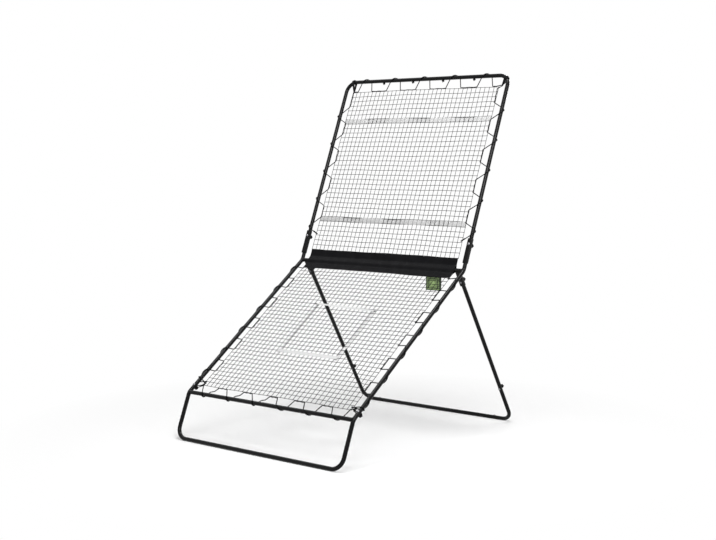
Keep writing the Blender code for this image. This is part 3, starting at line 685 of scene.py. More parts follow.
def tapered_start(path, spigot, seam):
    """A path and its radii with a swaged spigot from its first point to the seam, then a short taper."""
    reach = np.linalg.norm(path[0] - seam)
    extra = path[0] + unit(path[1] - path[0]) * np.array([[reach], [reach + TAPER]])
    radii = np.concatenate([[spigot, spigot], np.full(len(path), TUBE_R)])
    return np.concatenate([path[:1], extra, path[1:]]), radii


def build_tubes(settings, coat):
    """Every steel tube of the frame, with the welds of its two crossbars."""
    wall = settings.wall
    spigot = TUBE_R - wall - SPIGOT_GAP

    def tube(name, path, radius, node):
        make(name, [steel_tube(path, radius, wall)], coat, (node,))

    seam = LOWER.reach("side_tube_left")[0][1]
    spigot_end = LOWER.reach("front_foot")[1][1]
    foot = np.array([
        LOWER.place(-SIDE_X, spigot_end), [-SIDE_X, *KNEE], [-SIDE_X, *FRONT],
        [SIDE_X, *FRONT], [SIDE_X, *KNEE], LOWER.place(SIDE_X, spigot_end),
    ])
    bends = (settings.bend_knee, settings.bend_front, settings.bend_front, settings.bend_knee)
    path, radii = tapered_start(bent(foot, bends), spigot, LOWER.place(-SIDE_X, seam))
    path, _ = tapered_start(path[::-1], spigot, LOWER.place(SIDE_X, seam))
    tube("front_foot_tube", path, np.concatenate([[spigot, spigot], radii[::-1]]), "front_foot")

    stub_end = UPPER.reach("side_tube_left")[1][1]
    for word, side in SIDES:
        x = side * SIDE_X
        corners = np.array([LOWER.place(x, seam), [x, *FOLD], UPPER.place(x, stub_end)])
        tube(f"side_tube_{word}_steel", bent(corners, (settings.bend_fold,)), TUBE_R, f"side_tube_{word}")

    start = UPPER.reach("upper_frame")[0][1]
    heights = np.array([start, UPPER_LENGTH, UPPER_LENGTH, start])
    hoop = UPPER.place(SIDE_X * np.array([-1, -1, 1, 1]), heights)
    tube("upper_frame_tube", bent(hoop, (settings.bend_top,) * 2), TUBE_R, "upper_frame")

    for name, slope in (("knee_crossbar", LOWER), ("fold_crossbar", UPPER)):
        make(f"{name}_tube", [crossbar(slope, wall)], coat, (name,))
        beads = [weld_bead(slope, side, settings.bead) for _, side in SIDES]
        make(f"{name}_welds", beads, coat)

    bar_x = corners_of("rear_corner_right")[:, 0].min()
    for word, side in SIDES:
        x = side * REAR_X
        upright, corner = f"rear_upright_{word}", f"rear_corner_{word}"
        ends = np.stack(LEG.reach(upright))[:, 1]
        tube(f"{upright}_tube", LEG.place(x, ends), TUBE_R, upright)
        heights = np.array([LEG.reach(corner)[0][1], REAR_LENGTH, REAR_LENGTH])
        bend = bent(LEG.place(np.array([x, x, side * bar_x]), heights), (settings.bend_rear,))
        path, radii = tapered_start(bend, spigot, LEG.place(x, ends[1]))
        tube(f"{corner}_tube", path, radii, corner)
    end = corners_of("rear_bar")[:, 0].max()
    places = np.array([-end, -bar_x, -bar_x + TAPER, bar_x - TAPER, bar_x, end])
    radii = np.array([spigot, spigot, TUBE_R, TUBE_R, spigot, spigot])
    tube("rear_bar_tube", LEG.place(places, REAR_LENGTH), radii, "rear_bar")


def channel(slope, node, sheet, base_side):
    """The middle surface of a channel bracket, to be thickened.

    Its section runs up one wall, round a quarter circle, across the base, and down the other.
    """
    low, high = slope.reach(node)
    middle = (low[0] + high[0]) / 2
    half = (high[0] - low[0] - sheet) / 2
    lip, base = sorted((abs(low[2]), abs(high[2])))
    base = base - sheet / 2
    fold = 0.0022
    angle = np.linspace(0, np.pi / 2, 7)
    left = np.stack([-half + fold * (1 - np.cos(angle)), base - fold * (1 - np.sin(angle))], axis=-1)
    section = np.concatenate([[[-half, -lip]], left, left[::-1] * [-1, 1], [[half, -lip]]])
    rows = np.linspace(low[1], high[1], 14)[:, None]
    return skin(slope.place(middle + section[:, 0], rows, base_side * section[:, 1]))


def build_brackets(settings, coat):
    """The four channel brackets, folded from sheet steel, with their edges rounded."""
    for word, _ in SIDES:
        for place, slope, base_side in (("fold", UPPER, 1), ("leg", LEG, -1)):
            node = f"{place}_bracket_{word}"
            surface = channel(slope, node, settings.sheet, base_side)
            piece = make(f"{node}_plate", [surface], coat, (node,))
            thicken(piece, "sheet", settings.sheet)
            rounding = piece.modifiers.new("edge", "BEVEL")
            rounding.width = 0.0004
            rounding.segments = 2
            rounding.limit_method = "ANGLE"


# Bolts and knobs

def dome_bolt(settings, origin, axis, head_seat, tip):
    """A shank and a domed head, which stands rise (1 - 0.8 (r / R)^2) over its seat at the radius r."""
    shank, head, chamfer = settings.shank / 2, settings.head / 2, 0.0008
    out = head * np.array([1, 1, 0.97, 0.9, 0.78, 0.62, 0.42, 0.2, 0])
    rise = head_seat + settings.head_rise * (1 - 0.8 * (out / head) ** 2)
    rise[0] = head_seat
    profile = np.concatenate([
        [[tip, 0], [tip, shank * 0.8], [tip + chamfer, shank], [head_seat, shank]],
        np.stack([rise, out], axis=-1),
    ])
    return turned(profile, 32, origin, axis)


def build_bolts(settings, plate):
    """The eight dome head bolts and the two rivets of the rear floor tube."""
    seats = {"knee": TUBE_R, "fold": BRACKET_SEAT, "leg": BRACKET_SEAT, "foot": TUBE_R}
    tip = -TUBE_R - 0.0073
    for word, _ in SIDES:
        for place, seat in seats.items():
            at, axis = TURNS[f"{place}_knob_{word}"]
            centre_line = at - unit(axis) * (TUBE_R + CLEAR)
            name = f"{place}_bolt_{word}"
            surface = dome_bolt(settings, centre_line, -axis, seat, tip)
            make(f"{name}_steel", [surface], plate, (name,))
        node = f"rear_bar_rivet_{word}"
        low, high = np.array(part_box(node))
        surface = dome_bolt(settings, [(low[0] + high[0]) / 2, *REAR], [0, 0, 1], TUBE_R, low[2] - REAR[1])
        make(f"{node}_steel", [surface], plate, (node,))


def build_knobs(settings, plastic):
    """The eight hand knobs, each round its own bolt.

    The section is an eased line through the hub, the flange and the crown, and the lobes take
    scallop (1 - cos n a) / 2 off its radius where the flange is.
    """
    outer, rise = settings.knob / 2, settings.knob_rise
    corners = np.array([
        [0.0002, 0.0045], [0.0, 0.0062], [0.0012, 0.0063], [0.0027, 0.0064], [0.0030, outer * 0.80],
        [0.0033, outer * 0.97], [0.0050, outer], [rise - 0.0034, outer], [rise - 0.0012, outer * 0.97],
        [rise - 0.0001, outer * 0.84], [rise, outer * 0.62], [rise - 0.0007, outer * 0.48],
        [rise - 0.0007, outer * 0.3], [rise - 0.0005, 0.0],
    ])
    bore = np.array([[0.0086, 0.0], [0.0086, 0.00335], [0.0, 0.00335]])
    profile = np.concatenate([bore, eased(corners)])

    def lobes(rows, angle):
        above = np.clip((rows[:, 0] - 0.0028) / 0.0008, 0, 1)
        flange = above * np.clip((rows[:, 1] / outer - 0.5) / 0.3, 0, 1)
        return flange[:, None] * settings.scallop * (1 - np.cos(settings.lobes * angle)) / 2

    for name, (at, axis) in TURNS.items():
        surface = turned(profile, 80, at, axis, lobes)
        make(f"{name}_plastic", [surface], plastic, (name,), body=name)


# Nets and tapes

def stray(across, along, amount):
    """How far the net's twine strays from its straight lines, as three smooth sums of waves."""
    x = amount * (np.sin(9.1 * along + 4.0 * across) + 0.6 * np.sin(23.0 * along - 31.0 * across + 1.3))
    s = amount * (np.sin(8.3 * across - 5.1 * along + 0.7) + 0.6 * np.sin(27.0 * across + 19.0 * along))
    out = 1.4 * amount * (np.sin(6.1 * across + 2.0) * np.sin(7.7 * along + 0.4))
    return x, s, out


def strands(slope, lines, stations, upright, settings):
    """All the strands of one direction at once, each a section carried along its own line.

    A strand's point is its line's place plus the stray, and its section is r (cos a, sin a) in the
    two directions across it.
    """
    line, along = np.broadcast_arrays(lines[:, None], stations)
    x, s = (line, along) if upright else (along, line)
    dx, ds, out = stray(x, s, settings.slack)
    angle = circle(6)
    wide, high = (settings.twine / 2 * wave(angle) for wave in (np.cos, np.sin))
    x = (x + dx)[..., None] + (wide if upright else 0)
    s = (s + ds)[..., None] + (0 if upright else wide)
    return [skin(strand, wrap_cols=True) for strand in slope.place(x, s, out[..., None] + high)]


def net_knots(slope, xs, ss, settings):
    """A small knot at every crossing: a ball flattened to three quarters."""
    x, s = (field.ravel() for field in np.meshgrid(xs, ss))
    dx, ds, out = stray(x, s, settings.slack)
    wide, long, high = (settings.twine * 0.95 * field for field in ball())
    middles = (field[:, None, None] for field in (x + dx, s + ds, out))
    points = slope.place(*(middle + field for middle, field in zip(middles, (wide, long, high * 0.75))))
    return copies(points, 0.0006)


def net_lines(slope, node, settings):
    """The places of a net's strands, across and along, at about the mesh's spacing."""
    low, high = slope.reach(node)
    wide = high[0] + settings.overhang
    across = np.linspace(-wide, wide, round(2 * wide / settings.mesh) + 1)
    along = np.linspace(low[1], high[1], round((high[1] - low[1]) / (settings.mesh * 0.965)) + 1)
    return across, along


def build_nets(settings, twine):
    """Both nets: twine both ways with a knot at each crossing."""
    for name, slope in (("lower_net", LOWER), ("upper_net", UPPER)):
        across, along = net_lines(slope, name, settings)
        fine_x, fine_s = (np.linspace(line[0], line[-1], 3 * len(line) - 2) for line in (across, along))
        skins = strands(slope, across, fine_s, True, settings)
        skins += strands(slope, along, fine_x, False, settings)
        skins.append(net_knots(slope, across, along, settings))
        make(f"{name}_twine", skins, twine, (name,), smooth=80)


def tape_along(slope, start, end, half_width, lift, settings, period=0.0):
    """A tape from one place on the slope to another, following the net as it strays.

    Its height over the net is lift, or with a period in meshes lift times a rounded square wave,
    tanh(3 sin), that takes it in and out of the strands. Its section is flat with thin edges.
    """
    step, half_thick, drift = 0.0035, 0.0004, 0.0006
    start, end = np.array(start), np.array(end)
    length = np.linalg.norm(end - start)
    ahead = (end - start) / length
    aside = np.array([-ahead[1], ahead[0]])
    reach = np.linspace(0, length, int(length / step))[:, None]
    across = half_width * np.array([-1, -0.94, -0.5, 0, 0.5, 0.94, 1])
    thick = half_thick * np.array([0.4, 1, 1, 1, 1, 1, 0.4])
    wander = drift * np.sin(7 * reach)
    place = start + reach[..., None] * ahead + (across + wander)[..., None] * aside
    wave = np.tanh(3 * np.sin(2 * np.pi * reach / (period * settings.mesh))) if period else 1
    height = lift * wave + stray(place[..., 0], place[..., 1], settings.slack)[2]
    faces = [
        slope.place(place[:, ::face, 0], place[:, ::face, 1], height[:, ::face] + face * thick)
        for face in (1, -1)
    ]
    points = np.concatenate(faces, axis=1)
    closed = np.broadcast_to(points.mean(axis=1, keepdims=True), points.shape)
    points = np.concatenate([closed[:1], points, closed[-1:]])
    lengths = np.concatenate([[0], reach[:, 0], [length]])
    return skin(points, wrap_cols=True, lengths=lengths, round_once=4 * half_width)


def build_tapes(settings, twine):
    """The two tapes across the upper net and the target's four on the lower net.

    An upper tape lies midway between two of the net's strands. The target's near and far tapes lie
    on the net's front, and the side ones behind it. The far one is folded narrow, lies a little
    askew, and is tied at its ends.
    """
    rib, lift, period, past = 0.0012, 0.0019, 10.3, 0.006
    columns, rows = net_lines(UPPER, "upper_net", settings)
    for name in ("upper_tape_low", "upper_tape_high"):
        low, high = UPPER.reach(name)
        row = np.searchsorted(rows, (low[1] + high[1]) / 2)
        along = (rows[row - 1] + rows[row]) / 2
        start, end = low[0] - past, high[0] + past
        strand_places = columns[0] - start, columns[1] - columns[0]
        # A darker copy of the tape colour for the upper tapes: painted shade.
        threaded = webbing("threaded tape", shade(settings.white, 0.8), rib, strand_places)
        ends = (start, along), (end, along)
        surface = tape_along(UPPER, *ends, settings.tape / 2, lift, settings, period)
        make(f"{name}_webbing", [surface], threaded, (name,))

    low, high = LOWER.reach("target_tape")
    half, over = settings.target / 2, 0.0026
    left, right, near, far = low[0] + half, high[0] - half, low[1] + half, high[1] - half
    far_ends = (left - half, far + 0.005), (right + half + past, far - 0.009)
    front = [
        tape_along(LOWER, (left - half, near), (right + half, near), half, over, settings),
        tape_along(LOWER, *far_ends, half * 0.55, over, settings),
    ]
    make("target_webbing", front, webbing("white tape", settings.white, rib), ("target_tape",))
    # A lighter copy of the tape colour for the side tapes: painted light against the shade behind the net.
    lightened = webbing("shaded tape", shade(settings.white, 1.14), rib)
    behind = [
        tape_along(LOWER, (x, near - half), (x, far + half), half, -over, settings) for x in (left, right)
    ]
    make("target_side_webbing", behind, lightened)
    ties = []
    for end, along in far_ends:
        x = end + np.linspace(-0.006, 0.006, 5)
        route = LOWER.place(x, along - 0.003, 2 * over + stray(x, along, settings.slack)[2])
        ties.append(rod(route, settings.twine * np.array([0.6, 1, 1.1, 1, 0.6]), 8))
    make("target_ties", ties, twine, smooth=80)


# Lacing

CORD_GAP = 0.0002
HUB_R = 0.0063


def point(place, out=0.0):
    """One point of a cord's route, as an array of one row."""
    return np.array([[*place, out]])


def run(start, end):
    """A straight stretch of cord in the net's edge, passing over and under its strands."""
    count, lift = 9, 0.0016
    part = np.linspace(0, 1, count)[:, None]
    place = np.asarray(start) * (1 - part) + np.asarray(end) * part
    return np.column_stack([place, lift * np.cos(np.arange(count) * np.pi / 2)])


class Edge:
    """A tube on a slope and the net's edge beside it, with the cord's turns and runs between them.

    Ahead is the way along both, and inward the way from the tube to the net's edge, a depth off.
    """

    def __init__(self, start, ahead, inward, depth, settings):
        self.start, self.ahead, self.inward = (np.array(values, float) for values in (start, ahead, inward))
        self.depth = depth
        self.cord_r = settings.thick / 2

    def rim(self, spot):
        """The place on the net's edge beside a spot of the tube."""
        return self.start + spot * self.ahead + self.depth * self.inward

    def turn(self, spot, advance, face=1):
        """One turn round the tube, over its front first, or over its back if face is -1.

        It leaves and meets the tube where a line to the net's edge touches it: at an angle from the
        inward direction whose cosine is the cord's reach over the edge's distance.
        """
        reach = TUBE_R + self.cord_r + CORD_GAP
        touch = math.acos(reach / self.depth)
        angle = np.linspace(touch, 2 * np.pi - touch, 20)
        along = spot + advance * np.linspace(-0.5, 0.5, 20)
        place = self.start + np.outer(reach * np.cos(angle), self.inward) + np.outer(along, self.ahead)
        return np.column_stack([place, face * reach * np.sin(angle)])

    def laced(self, spots, advance, before, after, face=1):
        """A turn at each spot, and a run from after it to before the next."""
        pieces = [self.turn(spots[0], advance, face)]
        for here, there in zip(spots, spots[1:]):
            pieces.append(run(self.rim(here + after), self.rim(there - before)))
            pieces.append(self.turn(there, advance, face))
        return pieces


def side_edge(side, line, settings):
    """The edge at a side tube, with the net's edge at a line."""
    return Edge((side * SIDE_X, 0), (0, 1), (-side, 0), SIDE_X - line, settings)


def gap_beside(spots, length):
    """How far from their turns the runs start and end, for runs of a length midway between turns."""
    return (spots[1] - spots[0] - length) / 2


def taut(corners):
    """The points of a cord drawn tight: each corner, a point near it on both sides, and a middle.

    Near is 3 mm, or a quarter of a short stretch, so that an eased line through the points turns
    sharply at the corners and follows the stretches.
    """
    near = 0.003
    steps = np.diff(corners, axis=0)
    lengths = np.linalg.norm(steps, axis=1, keepdims=True)
    part = np.minimum(near / np.maximum(lengths, 1e-6), 0.25)
    four = np.stack([0 * part, part, 0 * part + 0.5, 1 - part], axis=1)
    return np.concatenate([(corners[:-1, None] + four * steps[:, None]).reshape(-1, 3), corners[-1:]])


def laid(slope, corners, settings):
    """The cord along its corners on a slope."""
    path = eased(taut(np.concatenate(corners)), 2)
    return rod(slope.place(*path.T), settings.thick / 2, 10)


def knot(slope, spot, settings, scale):
    """An overhand knot: the trefoil (sin t + 2 sin 2t, cos t - 2 cos 2t, -sin 3t)."""
    t = np.linspace(0, 2 * np.pi, 41)
    loop, thick = settings.thick * 0.34 * scale, settings.thick * 0.42 * scale
    across = spot[0] + loop * (np.sin(t) + 2 * np.sin(2 * t))
    along = spot[1] + loop * (np.cos(t) - 2 * np.cos(2 * t))
    return rod(slope.place(across, along, -loop * 1.2 * np.sin(3 * t)), thick, 8)


def corner_turns(side, angle, ring, settings):
    """Three turns round a top bend, a step apart, each from the place where the cord's two sides meet.

    The bend's centre line is its centre plus r (cos a, sin a), from the side up to the top.
    """
    step = 0.0048
    outward = np.array([side * math.cos(angle), math.sin(angle)])
    ahead = np.array([-side * math.sin(angle), math.cos(angle)])
    spot = np.array([side * (SIDE_X - TOP_BEND), UPPER_LENGTH - TOP_BEND]) + TOP_BEND * outward
    bend = Edge(spot, ahead, -outward, np.linalg.norm(spot - ring), settings)
    turns = []
    for shift in (-step, 0.0, step):
        turns += [point(ring + 0.4 * shift * ahead), bend.turn(shift, 0.003)]
    return turns + [point(ring + 0.0025 * ahead)]


def doubled_end(start, ahead, side, settings):
    """The cord's end turned back beside itself where it is tied to the net's edge."""
    way = unit(ahead - start)
    aside = side * np.array([-way[1], way[0], 0.0]) * settings.thick
    route = [start + aside * 0.4, start + way * 0.013 + aside * 0.7, start + way * 0.027 + aside * 0.5]
    return laid(UPPER, [np.array(route)], settings)


def upper_cord(settings):
    """The upper net's cord: up one side, across the top and down the other.

    Its turns, runs and knots have the places and lengths that the photograph shows.
    """
    _, high = UPPER.reach("upper_net")
    line, top_line = high[:2] + settings.thick / 2 + CLEAR
    spots = np.linspace(0.187, UPPER_LENGTH - 0.185, 5)
    gap = gap_beside(spots, 0.062)
    rings_at = {-1: np.array([0.002 - line, top_line - 0.001]), 1: np.array([line + 0.022, top_line + 0.003])}
    halves, skins = [], []
    for side, angle in ((-1, math.radians(74)), (1, math.radians(42))):
        edge = side_edge(side, line, settings)
        near_line = side * (line - 0.001)
        start = point((near_line, spots[0] - gap - 0.002), 0.001)
        laced = edge.laced(spots, settings.wrap, gap, gap)
        up = run(edge.rim(spots[-1] + gap), (near_line, top_line - 0.014))
        halves.append([start, *laced, up, *corner_turns(side, angle, rings_at[side], settings)])
        skins.append(doubled_end(start[0], laced[0][0], side, settings))
    low_knots = [(side * (line - 0.002), spots[0] - gap) for side in (-1, 1)]

    top = Edge((0, UPPER_LENGTH), (1, 0), (0, -1), UPPER_LENGTH - top_line, settings)
    spots = np.linspace(0.127 - SIDE_X, SIDE_X - 0.127, 5)
    gap = gap_beside(spots, 0.096)
    across = [
        run(top.rim(0.006 - line), top.rim(spots[0] - gap)), *top.laced(spots, settings.wrap, gap, gap),
        run(top.rim(spots[-1] + gap), top.rim(line - 0.006)),
    ]
    back = [piece[::-1] for piece in reversed(halves[1])]
    skins.insert(0, laid(UPPER, [*halves[0], *across, *back], settings))
    skins += [knot(UPPER, spot, settings, 0.9) for spot in rings_at.values()]
    skins += [knot(UPPER, spot, settings, 0.55) for spot in low_knots]
    below = UPPER_LENGTH - TUBE_R - 0.0055
    return skins + [knot(UPPER, (x, below), settings, 1.15) for x in (spots[:-1] + spots[1:]) / 2 + 0.02]


def hook(side, start, settings):
    """The cord's end loop round the hub of the knee's knob, behind the tube, from its start and back."""
    hub = np.array([side * SIDE_X, LOWER_BOLT])
    reach = HUB_R + settings.thick / 2
    away = np.linalg.norm(start - hub)
    towards = (start - hub) / away
    aside = np.array([-towards[1], towards[0]])
    touch = math.acos(reach / away)
    angle = np.linspace(touch, 2 * np.pi - touch, 14)
    place = hub + reach * (np.outer(np.cos(angle), towards) + np.outer(np.sin(angle), aside))
    loop = np.column_stack([place, np.full(14, -TUBE_R - 0.0006)])
    ends = [point(start + 0.3 * settings.thick * way * aside, -0.003) for way in (1, -1)]
    return [ends[0], loop, ends[1]]


def lower_cord(settings):
    """The lower net's cord: down one side, along the knee tube and up the other, with its end ties.

    Its turns, runs and knots have the places and lengths that the photograph shows.
    On the sides a turn crosses the tube's front at its upper end and comes back behind the tube.
    The first three turns round the knee tube are tight ones. Each of the net's lower corners is
    tied to its side tube with one more turn, and each end hooks round a knob's hub.
    """
    low, high = LOWER.reach("lower_net")
    half = settings.thick / 2 + CLEAR
    line, net_line = high[0] + half, low[1] - half
    edges = {side: side_edge(side, line, settings) for side in (-1, 1)}
    spots = np.linspace(0.1115, LOWER_LENGTH - 0.099, 6)
    before, after = 0.045, 0.036
    halves = []
    for side, edge in edges.items():
        laced = edge.laced(spots, 0.064, before, after, -1)
        ends = [point(edge.rim(spots[-1] + after)), point((side * (line - 0.001), high[1] - 0.004), 0.001)]
        halves.append([*laced, *ends])
    down = [piece[::-1] for piece in reversed(halves[0])]

    knee = Edge((0, 0), (1, 0), (0, 1), net_line, settings)
    spots = np.linspace(0.0965 - SIDE_X, SIDE_X - 0.0965, 6)
    gap = gap_beside(spots, 0.058)
    bottom = [point((-line, down[-1][-1, 1])), point((-line, net_line + 0.004))]
    for k, here in enumerate(spots):
        tight = k < 3
        bottom.append(knee.turn(here, 0.008 if tight else settings.wrap))
        start = here + gap + (0.012 if tight else 0.0)
        if tight:
            bottom += [point((here + 0.030, 0.019)), point((start - 0.010, 0.026), 0.002)]
        if k < len(spots) - 1:
            bottom.append(run(knee.rim(start), knee.rim(spots[k + 1] - gap + (0.004 if k < 2 else 0))))
    bottom.append(point((line, net_line + 0.004)))

    corner = 0.066
    routes = [[*down, *bottom, *halves[1]]]
    for side, spot in ((-1, 0.092), (1, 0.067)):
        tie_ends = [point((side * line, corner + step)) for step in (-0.0015, 0.0015)]
        routes.append([tie_ends[0], edges[side].turn(spot, 0.003), tie_ends[1]])
    hooks = {-1: np.array([-line - 0.002, 0.056]), 1: np.array([line + 0.022, 0.051])}
    routes += [hook(side, start, settings) for side, start in hooks.items()]
    skins = [laid(LOWER, route, settings) for route in routes]
    skins += [knot(LOWER, start, settings, 1.1) for start in hooks.values()]
    return skins + [knot(LOWER, (side * line, corner), settings, 0.9) for side in (-1, 1)]


def build_lacing(settings, cord):
    """The two elastic cords that tie the nets to the frame, along their real routes."""
    for word, route in (("upper", upper_cord), ("lower", lower_cord)):
        make(f"{word}_lacing_cord", route(settings), cord, (f"{word}_lacing",), smooth=80)


# Cloth

def sleeve_outline():
    """The sleeve's loop round the fold crossbar, as (Y, Z) from its centre, front edge first.

    The cloth runs from the upper hem over the front to the lower hem, and back behind the crossbar.
    """
    up, down = UPPER.along[1:], -LOWER.along[1:]
    up_out, down_out = UPPER.out[1:], LOWER.out[1:]
    corners = corners_of("fold_sleeve")
    high = ((corners - UPPER.start) @ UPPER.along).max()
    low = ((LOWER.start + LOWER.along * LOWER_LENGTH - corners) @ LOWER.along).max()
    lift = 0.0010
    front = unit(up_out + down_out) * 0.0118
    back = TUBE_R + lift
    behind = [-unit(down_out * (1 - t) + up_out * t) * back for t in (0.0, 0.5, 1.0)]
    return np.concatenate([
        np.outer(np.linspace(1.0, 0.35, 5), up * high) + up_out * lift, front[None],
        np.outer(np.linspace(0.35, 1.0, 5), down * low) + down_out * lift,
        np.outer(np.linspace(1.0, 0.45, 4), down * low) - down_out * lift, behind,
        np.outer(np.linspace(0.45, 1.0, 4), up * high) - up_out * lift,
    ])


def build_sleeve(settings, cloth, thread):
    """The cloth sleeve: a loop carried across the frame, rippled, with hems and their stitches.

    The ripple is a sum of three waves across and round the loop, and is pushed outwards from it.
    """
    loop = eased(sleeve_outline(), 5, closed=True)
    width = corners_of("fold_sleeve")[:, 0].max()
    across = np.linspace(-width, width, 260)[:, None]
    ahead = unit(np.roll(loop, -1, axis=0) - np.roll(loop, 1, axis=0))
    outward = np.stack([ahead[:, 1], -ahead[:, 0]], axis=-1)
    if np.sum(outward * (loop - loop.mean(axis=0))) < 0:
        outward = -outward
    turn = circle(len(loop))
    ripple = (np.sin(37 * across + 2 * np.sin(turn)) * 0.4 + np.sin(91 * across + 3 * turn) * 0.25
              + np.sin(13 * across - turn) * 0.35)
    free = np.clip((np.linalg.norm(loop, axis=1) - 0.010) / 0.02, 0, 1)
    points = loop + (settings.ripple * (ripple * free + 0.3))[..., None] * outward + FOLD
    surface = np.concatenate([np.broadcast_to(across[..., None], points.shape[:2] + (1,)), points], axis=-1)
    skins = [skin(surface, wrap_cols=True, round_once=0.24)]
    piece = make("fold_sleeve_cloth", skins, cloth, ("fold_sleeve",), smooth=60)
    thicken(piece, "cloth", settings.cloth)
    seams = sleeve_seams(settings, loop, outward, width)
    stitching = make("fold_sleeve_stitching", seams, thread, smooth=80)


def sleeve_seams(settings, loop, outward, width):
    """Two rows of stitches near each hem, on the front and on the back of the sleeve."""
    margin = 0.004
    spots = np.linspace(margin - width, width - margin, int(2 * width / settings.stitch))
    away, up, down = np.linalg.norm(loop, axis=1), loop @ UPPER.along[1:], loop @ -LOWER.along[1:]
    seams = []
    for reach, edge in ((up, away.max()), (down, down.max())):
        for inset in (margin, settings.hem):
            for face in (1, -1):
                shown = (outward @ (UPPER.out[1:] + LOWER.out[1:])) * face > 0
                k = int(np.argmin(np.abs(reach - (edge - inset)) + np.where(shown, 0, 1)))
                at = loop[k] + outward[k] * (settings.cloth / 2 + settings.ripple * 0.5) + FOLD
                seams.append(stitch_row(spots, at, outward[k], settings.stitch))
    return seams


def stitch_row(spots, at, outward, pitch):
    """A row of stitches across the frame: each a ball drawn out to 0.8 of the pitch."""
    thread_r = 0.0004
    wide, high, long = ball()
    side = np.array([-outward[1], outward[0]])
    section = at + thread_r * (wide[..., None] * side + high[..., None] * outward)
    x = spots[:, None, None, None] + long[..., None] * pitch * 0.40
    return copies(np.concatenate([x, np.broadcast_to(section, (*x.shape[:3], 2))], axis=-1), 0.001)


def build_tag(settings, cloth, low, high):
    """The tag under the sleeve: a sheet that hangs down with a slight curl.

    Its depth is the middle plus curl sin(pi v) u less swing u^2, with v across it and u down it.
    """
    wider, curl, swing = 0.008, 0.0016, 0.002
    v, u = np.meshgrid(np.linspace(0, 1, 20), np.linspace(0, 1, 20))
    x = low[0] - wider + (high[0] - low[0] + wider) * v
    z = high[2] - (high[2] - low[2]) * u
    y = (low[1] + high[1]) / 2 + curl * np.sin(np.pi * v) * u - swing * u ** 2
    surface = skin(np.stack([x, y, z], axis=-1))
    piece = make("care_tag_cloth", [surface], cloth, ("care_tag",), weld=False)
    thicken(piece, "cloth", settings.tag)


# Stage

def aim(shown, place, target):
    """Add an object to the scene at a place, looking at a target with its top up."""
    shown.location = place
    shown.rotation_euler = (Vector(target) - Vector(place)).to_track_quat("-Z", "Y").to_euler()
    bpy.context.collection.objects.link(shown)


def build_floor(settings):
    """A wide flat floor, paler away from the object."""
    places = np.linspace(-40, 40, 10)
    x, y = np.meshgrid(places, places)
    mesh = bpy.data.meshes.new("studio_floor")
    points = np.stack([x, y, 0 * x], axis=-1).reshape(-1, 3)
    mesh.from_pydata(points.tolist(), [], grid(10, 10)[0][:, ::-1].tolist())
    mesh.materials.append(white_floor(settings.albedo, settings.glow, 0.5, 1.7))
    ground = bpy.data.objects.new("studio_floor", mesh)
    bpy.context.collection.objects.link(ground)


def build_light(settings):
    """The light all round, white where it is seen, and five soft lamps that the camera doesn't see."""
    world = bpy.data.worlds.new("studio")
    world.use_nodes = True
    sky = Nodes(world.node_tree)
    level = sky.seen() * (1 - settings.world) + settings.world
    sky.fill(sky.tree.nodes["Background"], {"Color": (1, 1, 1, 1), "Strength": level})
    bpy.context.scene.world = world

    for name, watts, (wide, deep), place in (
        ("top", settings.top, (1.8, 1.1), (0.6, -0.35, 4.2)),
        ("key", settings.key, (0.8, 2.0), (-2.6, -0.4, 3.6)),
        ("front", settings.front, (2.2, 1.0), (2.5, -2.5, 3.9)),
        ("side", settings.side, (0.3, 2.0), (4.0, -0.6, 2.6)),
        ("back", settings.side, (0.3, 2.0), (-1.2, 4.0, 2.6)),
    ):
        lamp = bpy.data.lights.new(name, "AREA")
        lamp.energy = watts
        lamp.shape = "RECTANGLE"
        lamp.size, lamp.size_y = wide, deep
        shown = bpy.data.objects.new(name, lamp)
        shown.visible_camera = False
        aim(shown, place, (0.0, 0.0, 0.8))


def build_camera(settings):
    """The camera at the photograph's viewing angle."""
    camera = bpy.data.cameras.new("camera")
    camera.sensor_width = 36.0
    camera.lens = settings.lens
    shown = bpy.data.objects.new("camera", camera)
    middle = (REAR[0] - FRONT[0]) / 2
    aim(shown, (3.891, -3.936 - middle, 1.302), (0.0888, 0.6 - middle, 0.7774))
    bpy.context.scene.camera = shown
    bpy.context.scene.view_settings.view_transform = "Standard"


# Operators

class RebounderTubes(bpy.types.Operator):
    """Build the steel tubes of the frame and their brackets"""

    bl_idname = "rebounder.tubes"
    bl_label = "Tubes and brackets"

    def execute(self, context):
        settings = context.scene.rebounder_tubes
        coat = powder_coat(settings.coat)
        build_tubes(settings, coat)
        build_brackets(settings, coat)
        return {"FINISHED"}


class RebounderFittings(bpy.types.Operator):
    """Build the bolts, rivets and hand knobs"""

    bl_idname = "rebounder.fittings"
    bl_label = "Bolts and knobs"

    def execute(self, context):
        settings = context.scene.rebounder_fittings
        build_bolts(settings, plated_steel(settings.plate))
        build_knobs(settings, moulded_plastic(settings.plastic))
        return {"FINISHED"}


class RebounderNets(bpy.types.Operator):
    """Build the two nets and their tapes"""

    bl_idname = "rebounder.nets"
    bl_label = "Nets and tapes"

    def execute(self, context):
        settings = context.scene.rebounder_nets
        twine = twisted_twine(settings.colour, 0.006)
        build_nets(settings, twine)
        build_tapes(settings, twine)
        return {"FINISHED"}


class RebounderLacing(bpy.types.Operator):
    """Build the elastic cords that lace the nets to the frame"""

    bl_idname = "rebounder.lacing"
    bl_label = "Lacing"

    def execute(self, context):
        settings = context.scene.rebounder_cord
        build_lacing(settings, braided_cover(settings.colour, 0.012, 6))
        return {"FINISHED"}


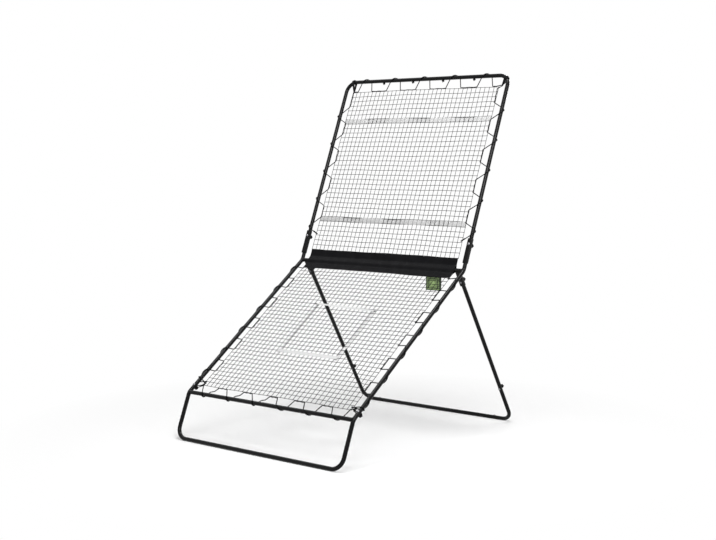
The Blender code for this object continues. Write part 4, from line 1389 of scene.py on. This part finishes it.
class RebounderCloth(bpy.types.Operator):
    """Build the sleeve over the fold tube and its tag"""

    bl_idname = "rebounder.cloth"
    bl_label = "Sleeve and tag"

    def execute(self, context):
        settings = context.scene.rebounder_cloth
        thread = twisted_twine(shade(settings.black, 1.6), 0.002)
        build_sleeve(settings, coated_cloth(settings.black, 0.0005), thread)
        low, high = np.array(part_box("care_tag"))
        green = tag_cloth(settings.green, settings.border, high[0] - low[0], high[2] - low[2])
        build_tag(settings, green, low, high)
        return {"FINISHED"}


class RebounderStage(bpy.types.Operator):
    """Build the floor, the lamps and the camera"""

    bl_idname = "rebounder.stage"
    bl_label = "Stage"

    def execute(self, context):
        for build in (build_floor, build_light, build_camera):
            build(context.scene.rebounder_stage)
        return {"FINISHED"}


STEPS = (
    (RebounderTubes, "rebounder_tubes", TubeSettings),
    (RebounderFittings, "rebounder_fittings", FittingSettings),
    (RebounderNets, "rebounder_nets", NetSettings),
    (RebounderLacing, "rebounder_cord", CordSettings),
    (RebounderCloth, "rebounder_cloth", ClothSettings),
    (RebounderStage, "rebounder_stage", StageSettings),
)


class RebounderPanel(bpy.types.Panel):
    """The rebounder's steps, each over the sizes and colours that it reads"""

    bl_idname = "VIEW3D_PT_rebounder"
    bl_label = "Rebounder"
    bl_space_type = "VIEW_3D"
    bl_region_type = "UI"
    bl_category = "Rebounder"

    def draw(self, context):
        for step, name, group in STEPS:
            self.layout.operator(step.bl_idname)
            for key in group.__annotations__:
                self.layout.prop(getattr(context.scene, name), key)


def register():
    """Make the settings, steps and panel known to Blender."""
    for step, name, group in STEPS:
        bpy.utils.register_class(group)
        setattr(bpy.types.Scene, name, PointerProperty(type=group))
        bpy.utils.register_class(step)
    bpy.utils.register_class(RebounderPanel)


def unregister():
    """Take them away again."""
    bpy.utils.unregister_class(RebounderPanel)
    for step, name, group in reversed(STEPS):
        bpy.utils.unregister_class(step)
        delattr(bpy.types.Scene, name)
        bpy.utils.unregister_class(group)


def main():
    """Build everything in order."""
    register()
    bpy.ops.rebounder.tubes()
    bpy.ops.rebounder.fittings()
    bpy.ops.rebounder.nets()
    bpy.ops.rebounder.lacing()
    bpy.ops.rebounder.cloth()
    bpy.ops.rebounder.stage()


if __name__ == "__main__":
    main()
